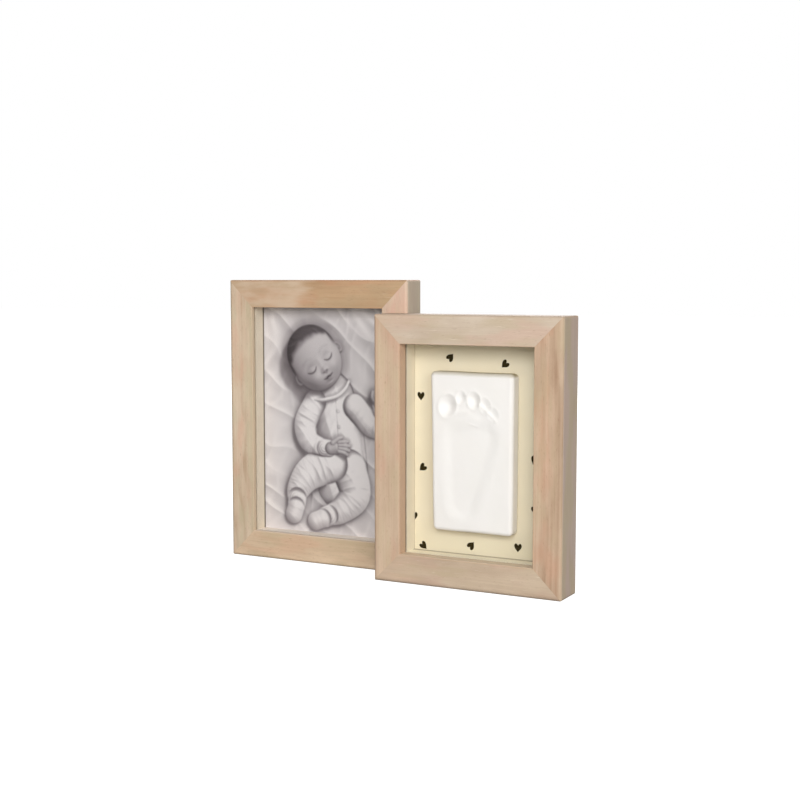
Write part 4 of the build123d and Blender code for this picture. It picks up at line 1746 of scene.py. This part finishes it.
@dataclass
class BabyPicture:
    """The greyscale print of a sleeping baby: a made-up child, drawn as a relief and then lit.

    Places are in millimetres from the print's middle. The head has its own across and up, turned by
    head_turn degrees.
    """

    groups: ShaderGroups
    columns: int = 240
    rows: int = 360
    finer: int = 2
    light_from: Triple = (0.34, 0.44, 0.83)
    hollows: tuple[Pair, ...] = ((0.8, 0.55), (2.4, 0.22), (8.0, 0.06))
    ambient: float = 0.42
    direct: float = 0.8
    shade_share: float = 0.75
    sheet_tone: float = 0.84
    sheet_bends: tuple[Rolling, Rolling] = (Rolling(7.0, 24.0, 24.0, 3), Rolling(7.0, 24.0, 24.0, 4))
    sheet_rolls: tuple[Rolling, Rolling] = (Rolling(1.6, 27.0, 40.0, 1), Rolling(0.4, 9.0, 17.0, 2))
    creases: tuple[Crease, ...] = (
        Crease((0.8, 0.6), -56, 3.4, 1.1), Crease((0.97, -0.22), 54, 2.8, 0.9),
        Crease((0.5, 0.86), -70, 2.6, 0.8),
    )
    head_middle: Pair = (-9.4, 40.4)
    head_turn: float = 38.0
    skin_tone: float = 0.62
    hair_tone: float = 0.13
    cloth_tone: float = 1.0
    torso: Limb = Limb(((4, 16, 16, -3), (9, -8, 18, -4), (11, -40, 20, -5)), 0.95, 0.975, flatness=0.8)
    far_arm: tuple[Limb, ...] = (
        Limb(((20, 10, 8.5, 1), (31, 0, 8.2, 1), (38, -1, 7.4, 1), (39, 9, 5.6, 2)), 1.0, 0.97, 1.6, 1.5,
             seed=21),
        Limb(((39, 8, 5.9, 3), (38.6, 11.5, 5.7, 3)), 0.93, rib_pitch=1.5, rib_depth=0.22),
        Limb(((38, 13, 4.6, 3.5), (36.6, 17, 5.2, 4)), 0.62),
        *(Limb(((33.2 + 2.15 * n, 19.8 + 0.3 * n, 1.35, 7.0), (32.9 + 2.15 * n, 17.0, 1.4, 8.2),
                (33.9 + 1.9 * n, 14.8, 1.2, 7.2)), 0.64, 0.93) for n in range(4)),
    )
    near_arm: tuple[Limb, ...] = (
        Limb(((-9, 12, 8.2, 2), (-16.5, -2, 8.4, 3), (-14, -13, 7.6, 5.5), (-5, -17, 6.2, 9),
              (0, -17.5, 5.4, 11)), 1.0, 0.97, 1.8, 1.7, seed=22),
        Limb(((-2.2, -17.4, 5.9, 11), (1.0, -17.6, 5.7, 11.5)), 0.93, rib_pitch=1.5, rib_depth=0.22),
        Limb(((2.4, -17.6, 4.3, 12), (6.6, -16.4, 5.0, 12.4)), 0.64, 0.95),
        *(Limb(((*root, 1.5, 16.2), (*joint, 1.45, 16.6), (*tip, 1.15, 14.6)), 0.66, 0.93)
          for root, joint, tip in (((8.6, -13.3), (12.4, -12.6), (15.0, -12.4)),
                                   ((9.0, -15.2), (13.3, -15.0), (16.4, -15.2)),
                                   ((9.0, -17.1), (13.2, -17.4), (16.2, -18.2)),
                                   ((8.6, -19.0), (12.2, -19.6), (14.6, -20.8)))),
        Limb(((4.0, -13.8, 1.7, 15.6), (8.0, -10.8, 1.5, 16.0), (10.8, -9.9, 1.2, 15.2)), 0.66, 0.93),
    )
    legs: tuple[Limb, ...] = (
        Limb(((16, -30, 13, 0), (20, -46, 11.5, 2), (10, -57, 8.6, 3), (1, -61, 6.6, 3)), 0.97, 0.97, 2.0,
             1.9, seed=24),
        Limb(((1.0, -61, 7.0, 3.4), (-2.0, -62.4, 6.8, 3.6)), 0.9, rib_pitch=1.5, rib_depth=0.24),
        Limb(((-3.5, -63.2, 6.3, 3.2), (-9, -65.4, 6.3, 3)), 0.88, 0.96, 1.3, 0.35, seed=26),
        Limb(((2, -27, 13, 3), (-14, -35, 11, 6), (-22.5, -46, 8.4, 5), (-23, -52, 6.8, 4)), 1.0, 0.97,
             2.0, 1.9, seed=25),
        Limb(((-23.0, -51.5, 7.2, 4.6), (-23.4, -54.8, 7.0, 4.8)), 0.92, rib_pitch=1.5, rib_depth=0.24),
        Limb(((-23.8, -57, 6.5, 4.2), (-25.6, -62, 6.6, 3.6)), 0.9, 0.96, 1.3, 0.35, seed=27),
    )
    neckband: Limb = Limb(((-9, 13.6, 1.0, 9), (-3, 13.6, 1.3, 12), (7, 16.2, 1.4, 13), (13, 21, 1.3, 11),
                           (16, 26, 1.0, 8)), 0.95, 0.94)
    buttons: tuple[Pair, ...] = ((8.2, 7.0), (8.9, -3.0), (9.6, -23.0))
    placket: Line = Line(((6.0, 14, 0.4), (7.5, -6, 0.4), (8.5, -36, 0.4)), 0.0, 0.4)
    cranium: Swell = Swell(0.0, 4.3, 18.6, 18.4, 0.0)
    jaw: Swell = Swell(0.0, -7.0, 17.0, 15.4, 0.0)
    ears: Swell = Swell(18.2, -4.6, 2.5, 4.4, 2.6, 8.0, True)
    forms: tuple[Swell, ...] = (
        Swell(8.8, -11.6, 7.6, 6.6, 3.4, paired=True),   # cheeks
        Swell(7.4, -3.6, 5.0, 3.6, -1.5, paired=True),   # eye hollows
        Swell(7.6, -4.6, 4.0, 2.7, 1.9, paired=True),    # closed lids
        Swell(7.6, 0.8, 5.4, 1.6, 0.4, -6.0, True),      # brow ridges
        Swell(2.1, -10.6, 1.3, 1.1, 0.8, paired=True),   # sides of the nose
        Swell(0.0, -5.0, 2.1, 5.0, 0.6),                 # bridge of the nose
        Swell(0.0, -9.9, 2.4, 2.0, 2.6),                 # tip of the nose
        Swell(0.0, -12.6, 1.1, 1.2, -0.7),               # groove under the nose
        Swell(0.0, -14.3, 3.4, 1.2, 1.1),                # upper lip
        Swell(0.0, -16.5, 3.0, 1.4, 1.4),                # lower lip
        Swell(0.0, -18.5, 3.2, 0.9, -0.9),               # hollow under the lip
        Swell(0.0, -20.8, 4.2, 2.6, 2.0),                # chin
    )
    lips: tuple[Swell, ...] = (Swell(0.0, -14.7, 3.2, 1.0, 0.16), Swell(0.0, -16.3, 2.8, 1.1, 0.16))
    nostrils: Swell = Swell(1.3, -11.4, 0.8, 0.55, 0.45, 20.0, True)
    lines: tuple[Line, ...] = (
        Line(((3.8, -4.8, 0.3), (5.4, -6.3, 0.55), (7.6, -6.8, 0.6), (9.8, -6.1, 0.55),
              (11.4, -4.7, 0.3)), 0.45, 0.3, True),      # lashes
        Line(((4.2, -3.2, 0.5), (7.4, -2.1, 0.5), (10.6, -3.3, 0.5)), 0.06, 0.0, True),
        Line(((4.0, 1.2, 0.9), (7.4, 2.4, 0.9), (11.2, 1.4, 0.9)), 0.07, 0.0, True),
        Line(((-3.8, -15.1, 0.3), (-1.7, -15.7, 0.5), (0.0, -15.3, 0.5), (1.7, -15.7, 0.5),
              (3.8, -15.1, 0.3)), 0.45, 0.5),            # the line between the lips
    )
    paper_dark: Triple = (0.034, 0.026, 0.029)
    paper_white: Triple = (0.95, 0.905, 0.89)
    paper_curve: Triple = (1.12, 1.17, 1.13)
    gain: float = 0.95
    lift: float = -0.05
    paper: FibreFinish = FibreFinish((225, 218, 214), (205, 198, 194), (190, 184, 180), 30.0, 0.22, 0.08,
                                     0.0, 0.42, 0.008, 0.3, 0.4)

    def _lay_sheet(self, relief: Relief) -> None:
        """Spreads the bed sheet, with a few soft folds.

        Args:
            relief: the whole relief.
        """
        across, up = [rest + bend.at(relief.x, relief.y)
                      for rest, bend in zip((relief.x, relief.y), self.sheet_bends)]
        sheet = self.sheet_rolls[0].at(across, up) + self.sheet_rolls[1].at(across, up)
        for crease in self.creases:
            off = across * crease.toward[0] + up * crease.toward[1] + crease.offset
            sheet += crease.lift * hump(off, crease.half_width)
        slant, lean = (0.55, 0.83), 0.4
        slanting = slant[0] * across + slant[1] * up
        relief.height[...] = (sheet + folds(slanting, across - up, seed=51, size=5.0, depth=2.0)
                              + folds(across - lean * up, up, seed=52, size=3.4, depth=0.7))

    def _lay_torso(self, relief: Relief) -> None:
        """Lays the body in its buttoned romper.

        Args:
            relief: the whole relief.
        """
        low_corner, high_corner, hem, cover_band, sunk = (-20, -62), (36, 36), (1.0, 0.55), (1.0, 0.96), 1.0
        part = relief.window(low_corner, high_corner)
        x, y = part.x, part.y
        rise, _, side = self.torso.measure(part)
        leans = (0.35, 0.5, 0.6)
        cloth = (folds(x + leans[0] * y, y, seed=11, size=3.6, depth=1.3)
                 + folds(y - leans[1] * x, x, seed=12, size=5.2, depth=1.2)
                 + folds(x - leans[2] * y, y, seed=13, size=2.1, depth=0.6))
        rise = rise + stepped(*hem, np.abs(side)) * cloth
        part.lay(np.maximum(rise, part.height - sunk), stepped(*cover_band, np.abs(side)), self.cloth_tone)
        part.height -= self.placket.depth * self.placket.value(x, y)
        radius, rim_band, dish_band, tone_band = 1.3, (1.1, 0.75), (0.6, 0.3), (1.1, 0.8)
        rim_high, dish_deep, darkness = 0.9, 0.5, 0.12
        for button in self.buttons:
            share = np.hypot(x - button[0], y - button[1]) / radius
            part.height += rim_high * stepped(*rim_band, share) - dish_deep * stepped(*dish_band, share)
            part.tone -= darkness * stepped(*tone_band, share)

    def _lay_ears(self, part: Relief, a: Array, b: Array) -> None:
        """Lays the two ears, each with a groove inside its rim.

        Args:
            part: the relief round the head.
            a: places across the head.
            b: places up the head.
        """
        base, groove_deep, groove_at, groove_size, darker, cover_band = 9.0, 1.8, 0.4, 0.25, 0.1, (1.03, 0.93)
        for side in (-1, 1):
            share = np.hypot(*self.ears.shares(a, b, side))
            form = base + self.ears.lift * dome(share) - groove_deep * hump(share - groove_at, groove_size)
            part.lay(form, stepped(*cover_band, share), self.skin_tone - darker)

    def _hair(self, a: Array, b: Array, rim: Array) -> tuple[Array, Array]:
        """Grows fine hair that spins from a whorl.

        Args:
            a: places across the head.
            b: places up the head.
            rim: how far out each place is, 1 at the head's outline.

        Returns:
            How much hair there is at each place, and how light or dark its strands are.
        """
        brow_band, brow_curve, uneven = (10.5, 16.0), 0.022, Rolling(0.9, 3.0, 3.0, 41)
        side_band, side_up = (0.84, 0.97), (-5.0, 3.0)
        hair = stepped(*brow_band, b + brow_curve * a * a + uneven.at(a, b))
        hair = np.maximum(hair, stepped(*side_band, rim) * stepped(*side_up, b))
        whorl, twist, bald_band = (2.0, 18.5), 0.06, (1.5, 9.0)
        far = np.hypot(a - whorl[0], b - whorl[1])
        angle = np.arctan2(b - whorl[1], a - whorl[0]) + twist * far
        coarse, fine, coarse_count, fine_count, coarse_long, fine_long = 0.5, 0.4, 20, 44, 5.0, 4.0
        strands = (coarse * soft_noise(angle * coarse_count, far / coarse_long, 42)
                   + fine * soft_noise(angle * fine_count, far / fine_long, 43))
        return hair, strands * stepped(*bald_band, far)

    def _lay_head(self, relief: Relief) -> None:
        """Lays the head, with a plain sleeping face and fine hair.

        Args:
            relief: the whole relief.
        """
        reach = 30.0
        middle_x, middle_y = self.head_middle
        part = relief.window((middle_x - reach, middle_y - reach), (middle_x + reach, middle_y + reach))
        a, b = spun(part.x - middle_x, part.y - middle_y, math.radians(self.head_turn))
        # the outline runs smoothly round the cranium and the jaw together
        cranium, jaw = [np.hypot(*form.shares(a, b)) for form in (self.cranium, self.jaw)]
        joining, spare = 6.0, 0.02
        rim = -np.log(np.exp(-joining * cranium) + np.exp(-joining * jaw)) / joining + spare
        roundness = dome(np.clip(rim, 0, 1))
        self._lay_ears(part, a, b)
        # the features sit on a rounded head, so they drift towards its turned side
        drift, sink, base, fullness, face_band = 1.4, 0.4, 12.0, 17.0, (1.0, 0.72)
        seen_a, seen_b = a - drift * roundness, b + sink
        face = sum(form.lift * form.value(seen_a, seen_b) for form in self.forms)
        height = base + fullness * roundness + face * stepped(*face_band, rim)
        hair, strands = self._hair(a, b, rim)
        strand_tone, hair_high, strand_high, cover_band = 0.09, 0.4, 0.25, (1.0, 0.965)
        tone = np.full_like(a, self.skin_tone) * (1 - hair) + (self.hair_tone + strand_tone * strands) * hair
        height = height + hair * (hair_high + strand_high * strands)
        tone -= sum(lip.lift * np.clip(lip.value(seen_a, seen_b), 0, 1) for lip in self.lips)
        holes, hole_deep = self.nostrils.value(seen_a, seen_b), 0.5
        tone -= self.nostrils.lift * holes
        height -= hole_deep * holes
        for line in self.lines:
            drawn = line.value(seen_a, seen_b)
            tone -= line.darkness * drawn
            height -= line.depth * drawn
        part.lay(height, stepped(*cover_band, rim), tone)

    def _lit(self, relief: Relief) -> Array:
        """Lights the relief softly from one side.

        Args:
            relief: the finished relief.

        Returns:
            The picture's grey, linear, from 0 to 1.
        """
        height, pitch = relief.height, relief.pitch
        slope_y, slope_x = np.gradient(height, pitch)
        to_light = np.array(self.light_from) / np.linalg.norm(self.light_from)
        facing = (-slope_x * to_light[0] - slope_y * to_light[1] + to_light[2])
        facing /= np.sqrt(slope_x ** 2 + slope_y ** 2 + 1)
        wrap = 0.12
        direct = np.clip((facing + wrap) / (1 + wrap), 0, 1)
        deepest, half = 0.8, 0.5
        hollow = sum(weight * np.clip(blurred(height, size / pitch) - height, 0, deepest * size)
                     for size, weight in self.hollows)
        openness = np.exp(-hollow)
        # each place is shaded by what stands between it and the light
        step, farthest, soft, softer, blur = 0.8, 16.0, 0.6, 0.45, 0.6
        level = math.hypot(to_light[0], to_light[1])
        shade = np.zeros_like(height)
        for reach in np.arange(step, farthest, step):
            higher = shifted(height, int(round(reach * to_light[0] / level / pitch)),
                             int(round(reach * to_light[1] / level / pitch)))
            rise = higher - height - reach * to_light[2] / level
            shade = np.maximum(shade, stepped(0.0, soft + reach * softer, rise))
        direct = direct * (1 - self.shade_share * blurred(shade, blur / pitch))
        light = self.ambient * openness + self.direct * direct * (half + half * openness)
        return np.clip(relief.tone * light, 0, 1)

    def painted(self, width: float, height: float) -> Array:
        """Paints the picture.

        Args:
            width: the sheet's width in millimetres.
            height: the sheet's height.

        Returns:
            Linear red, green and blue at each point of the sheet's grid.
        """
        relief = Relief.blank(width, height, self.columns * self.finer + 1, self.rows * self.finer + 1,
                              self.sheet_tone)
        self._lay_sheet(relief)
        self._lay_torso(relief)
        for limb in self.legs + self.far_arm + self.near_arm:
            limb.lay_on(relief)
        self._lay_head(relief)
        self.neckband.lay_on(relief)
        grey = blurred(self._lit(relief), self.finer / 3)[::self.finer, ::self.finer]
        dark, white = np.array(self.paper_dark), np.array(self.paper_white)
        exposed = np.clip(grey[..., None] * self.gain + self.lift, 0, 1)
        return dark + (white - dark) * exposed ** np.array(self.paper_curve)

    def build(self) -> Piece:
        """Builds the print.

        Returns:
            The piece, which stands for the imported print.
        """
        low, high = millimetres("photo_print")
        size = high - low
        colours = self.painted(float(size[0]), float(size[2]))
        rows, columns = colours.shape[:2]
        x, z = np.meshgrid(np.linspace(low[0], high[0], columns), np.linspace(low[2], high[2], rows))
        points = [np.stack((x, np.full(x.shape, low[1]), z), axis=-1).reshape(-1, 3)]
        faces, rim = grid_faces(rows, columns)
        edge = points[0][rim] + np.array((0.0, size[1], 0.0))
        points.append(edge)
        total, count = rows * columns, len(rim)
        back = list(range(total, total + count))
        faces += ring_faces(rim.tolist(), back) + fan_faces(back, total + count)
        points.append(np.array([[(low[0] + high[0]) / 2, high[1], (low[2] + high[2]) / 2]]))
        crease = 30.0
        made = new_mesh_object("baby_picture", np.concatenate(points), faces, crease)
        plain = np.ones((count + 1, 3)) * np.array(self.paper_white)
        values = np.concatenate((colours.reshape(-1, 3), plain))
        values = np.concatenate((values, np.ones((len(values), 1))), axis=1).astype(np.float32)
        layer = made.data.color_attributes.new("print_colour", "FLOAT_COLOR", "POINT")
        layer.data.foreach_set("color", values.ravel())
        wear(made, self.material())
        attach(made, "photo_frame")
        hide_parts("photo_print")
        return made

    def material(self) -> Material:
        """Builds the satin print paper, which reads the picture's colours.

        Returns:
            The material.
        """
        graph = MaterialGraph("satin_print")
        drawn = graph.node("ShaderNodeAttribute", attribute_name="print_colour").outputs["Color"]
        made = self.paper.group(graph, self.groups, drawn)
        fibre_share = 0.15
        grain = graph.blend(fibre_share, drawn, made.outputs["Color"])
        return graph.surface(grain, *made.outputs[1:], self.paper.relief, self.paper.strength)


@dataclass(frozen=True)
class Softbox:
    """A square light that faces the object: its direction in degrees, distance, width and watts.

    The azimuth runs from straight ahead towards the right, the elevation from the horizon.
    """

    name: str
    azimuth: float
    elevation: float
    distance: float
    width: float
    power: float

    def hang(self) -> None:
        """Hangs the light."""
        around, above = math.radians(self.azimuth), math.radians(self.elevation)
        away = Vector((math.sin(around) * math.cos(above), -math.cos(around) * math.cos(above),
                       math.sin(above)))
        data = bpy.data.lights.new(self.name, "AREA")
        data.shape, data.size, data.energy = "SQUARE", self.width, self.power
        light = placed(self.name, data)
        light.location = (CAD_LOW + CAD_HIGH) / 2 + away * self.distance
        light.rotation_euler = away.to_track_quat("Z", "Y").to_euler()


@dataclass
class Studio:
    """The pale floor, soft lights, white surround and camera."""

    lens: float = 60.373
    sensor: float = 36.0
    camera_place: Triple = (0.386602, -0.717144, 0.178961)
    camera_turn: Triple = (84.957, 0.0, 27.968)
    lights: tuple[Softbox, ...] = (
        Softbox("key_light", 21.0, 19.5, 1.6, 0.62, 14.8),
        Softbox("fill_light", 48.0, 14.0, 1.8, 1.0, 12.6),
        Softbox("back_light", 200.0, 32.0, 1.6, 0.6, 12.0),
    )
    surround: float = 0.27
    floor_half: float = 6.0
    floor_tone: float = 165.0

    def _floor(self) -> None:
        """Lays the floor just under the object."""
        half, below = self.floor_half, -0.00002
        corners = [(-half, -half, below), (half, -half, below), (half, half, below), (-half, half, below)]
        mesh = bpy.data.meshes.new("studio_floor")
        mesh.from_pydata(corners, [], [[0, 1, 2, 3]])
        floor = placed("studio_floor", mesh)
        graph = MaterialGraph("studio_floor_paper")
        clouds = graph.noise(graph.place, (0.01, 0.01, 0.01), 3.0)
        tone = self.floor_tone
        colour = graph.blend(clouds, linear((tone, tone, tone)), linear((tone - 4, tone - 4, tone - 4)))
        # pure white to the camera, but only a soft bounce for the object
        graph.shader.inputs["Emission Color"].default_value = (1.0, 1.0, 1.0, 1.0)
        seen = graph.node("ShaderNodeLightPath").outputs["Is Camera Ray"]
        graph.feed(graph.shader.inputs["Emission Strength"], seen)
        graph.shader.inputs["Specular IOR Level"].default_value = 0.0
        mesh.materials.append(graph.surface(colour, 0.9))

    def _surround(self) -> None:
        """Fills the world with soft white light, and shows it pure white to the camera."""
        world = bpy.data.worlds.new("studio_surround")
        bpy.context.scene.world = world
        world.use_nodes = True
        graph = NodeGraph(world.node_tree)
        seen = graph.node("ShaderNodeLightPath").outputs["Is Camera Ray"]
        background = world.node_tree.nodes["Background"]
        background.inputs["Color"].default_value = (1.0, 1.0, 1.0, 1.0)
        strength = graph.math("MAXIMUM", seen, self.surround)
        graph.feed(background.inputs["Strength"], strength)

    def _camera(self) -> None:
        """Sets the camera where the photograph was taken from."""
        data = bpy.data.cameras.new("studio_camera")
        data.lens, data.sensor_width = self.lens, self.sensor
        camera = placed("studio_camera", data)
        camera.location = self.camera_place
        camera.rotation_euler = Euler([math.radians(angle) for angle in self.camera_turn])
        bpy.context.scene.camera = camera

    def build(self) -> None:
        """Builds the studio."""
        self._floor()
        self._surround()
        for light in self.lights:
            light.hang()
        self._camera()
        bpy.context.scene.view_settings.view_transform = "Standard"


def photo_frame_woods() -> dict[Member, WoodFinish]:
    """Chooses the photo frame's woods.

    Returns:
        The wood of each member.
    """
    return {
        Member.TOP: WoodFinish(
            (202, 168, 132), (166, 131, 97), 1.3, (198, 142, 108), patches=0.45, cool=(184, 160, 126),
            scuffs=0.12, rings=0.1, side=(186, 146, 112), side_share=0.7, streaks=0.25,
            edge=(186, 134, 98), edge_share=0.6, edge_width=1.8, seam=0.03, drift=(212, 188, 162),
            drift_share=0.95, drift_place=(4.0, -18.0)),
        Member.BOTTOM: WoodFinish(
            (235, 209, 178), (200, 172, 142), 2.6, (212, 170, 140), patches=0.4, rings=0.1, streaks=0.3,
            edge=(166, 144, 122), edge_width=1.2, edge_share=0.75, wall=(228, 210, 192), wall_share=0.85,
            inner=(226, 204, 180), seam=0.04, seat=0.0),
        # the left stile's darker edge tint is partly painted shade on its rounded outer edge, which turns
        # away from the light
        Member.LEFT: WoodFinish(
            (225, 204, 178), (188, 160, 132), 3.9, (218, 174, 148), rings=0.26, cool=(200, 190, 158),
            core=(-30.0, 52.0, 0.0), tilt=(0.11, 0.0, 0.0), ring_spacing=4.4, edge=(166, 150, 124),
            edge_share=0.75, edge_width=2.6, inner=(200, 172, 142), inner_share=0.5, wall=(204, 184, 156),
            streaks=0.45, patches=0.45, seam=0.03),
        Member.RIGHT: WoodFinish(
            (220, 194, 172), (194, 162, 138), 5.2, (216, 168, 148), patches=0.4, cool=(204, 186, 156),
            rings=0.1, side=(192, 186, 166), side_share=0.75, seam=0.1),
    }


def print_frame_woods() -> dict[Member, WoodFinish]:
    """Chooses the print frame's woods.

    Returns:
        The wood of each member.
    """
    return {
        Member.TOP: WoodFinish(
            (214, 198, 178), (184, 162, 140), 6.1, (208, 168, 150), scuffs=0.4, rings=0.08, patches=0.35,
            side=(176, 146, 120), side_share=0.6, edge=(184, 154, 130), edge_width=1.6, edge_share=0.5,
            seam=0.04, streaks=0.25, drift=(203, 177, 152), drift_share=0.9, drift_place=(-26.0, -50.0)),
        Member.BOTTOM: WoodFinish(
            (213, 193, 168), (180, 156, 132), 7.7, (196, 160, 142), scuffs=0.4, rings=0.1, patches=0.4,
            side=(160, 144, 126), edge=(162, 142, 124), edge_width=3.0, edge_share=0.65,
            wall=(214, 196, 172), seam=0.04, seat=0.3, streaks=0.3, drift=(212, 182, 156),
            drift_share=0.8, drift_place=(-22.0, -48.0)),
        # the left stile's darker, wider edge tint is partly painted shade on its rounded outer edge, which
        # turns away from the light
        Member.LEFT: WoodFinish(
            (216, 191, 164), (184, 154, 128), 8.4, (208, 160, 138), rings=0.08, cool=(202, 184, 150),
            edge=(184, 152, 128), edge_share=0.65, edge_width=4.5, streaks=0.4, patches=0.35, seam=0.03),
        Member.RIGHT: WoodFinish(
            (210, 183, 156), (164, 132, 106), 9.9, (200, 148, 120), rings=0.25, ring_spacing=4.6,
            core=(30.0, 24.0, 0.0), streaks=0.6, patches=0.35, side=(192, 178, 154), wash=(200, 180, 174),
            side_share=0.85, seam=0.08),
    }


def shared_finishes() -> dict[str, Union[FibreFinish, MetalFinish]]:
    """Chooses the boards, the foam and the metals.

    Returns:
        Each finish by its material's name.
    """
    return {
        "brown_board": FibreFinish((150, 116, 84), (128, 96, 68), (104, 76, 54), 18.0, 0.5, 0.5, 0.3,
                                   0.72, 0.06),
        "grey_board": FibreFinish((178, 174, 166), (160, 156, 148), (132, 128, 120), 10.0, 0.5, 0.5,
                                  0.4, 0.85, 0.05),
        "foam_pad": FibreFinish((238, 238, 234), (226, 226, 220), (206, 206, 200), 4.0, 0.25, 0.4, 0.5,
                                0.85, 0.08),
        "nail_steel": MetalFinish((190, 190, 192), (128, 126, 124), 0.5, 0.38),
        "nickel": MetalFinish((218, 216, 212), (176, 172, 166), 0.25, 0.18),
        "brassed_steel": MetalFinish((214, 196, 152), (150, 128, 92), 0.45, 0.28),
    }


def main() -> None:
    """Builds every sub-assembly in order, then the studio."""
    logging.basicConfig(level=logging.INFO, format="%(name)s: %(message)s")
    groups = ShaderGroups()
    shared = {name: finish.material(name, groups) for name, finish in shared_finishes().items()}
    shared["clear_acrylic"] = PaneFinish().material("clear_acrylic")
    hearts, screws = Turning.hearts(), Turning.screws()

    # the spacers' lines are painted shade: a dark line where they meet the print or the card, and a band at
    # the back of the print frame's bottom spacer
    plain = FibreFinish((230, 217, 196), (220, 206, 184), (200, 186, 166), 14.0, 0.4, 0.5, 0.1, 0.7)
    # each bottom spacer is a lighter copy of its spacer finish, painted light for its up-facing top
    photo = DisplayFrame(
        "photo_frame", photo_frame_woods(),
        replace(plain, line=(92, 80, 70), shade_line_share=0.9, shade_line_span=(13.2, 14.3)),
        replace(plain, base=(250, 240, 228), tint=(246, 234, 222), speck=(230, 218, 206)),
        groups, shared, (12.0, 71.0, 33.0, 52.0))
    prints = DisplayFrame(
        "print_frame", print_frame_woods(),
        replace(plain, base=(234, 224, 202), tint=(226, 214, 190), speck=(208, 196, 172),
                shade_line_share=0.3, shade_line_span=(-3.4, -2.5)),
        replace(plain, base=(250, 242, 220), tint=(246, 236, 212), speck=(226, 214, 188),
                shade_line_share=0.7, shade_line_span=(-6.4, -3.4)),
        groups, shared, (64.0, 25.0, 8.0, 43.0))
    for part in (photo, prints):
        LOG.info("%s: dressed %s", part.prefix, ", ".join(part.dress()))
        LOG.info("made %s", part.add_screws(screws).name)

    wear(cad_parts["filler_board"], shared["grey_board"])
    wear(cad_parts["adhesive_pads"], shared["foam_pad"])
    LOG.info("dressed filler_board and adhesive_pads")
    card = HeartCard(groups)
    card.dress()
    LOG.info("dressed heart_card and made %s", card.add_hearts(hearts).name)
    LOG.info("made %s", ClayPrint(groups).build().name)
    LOG.info("made %s", BabyPicture(groups).build().name)
    Studio().build()


if __name__ == "__main__":
    main()
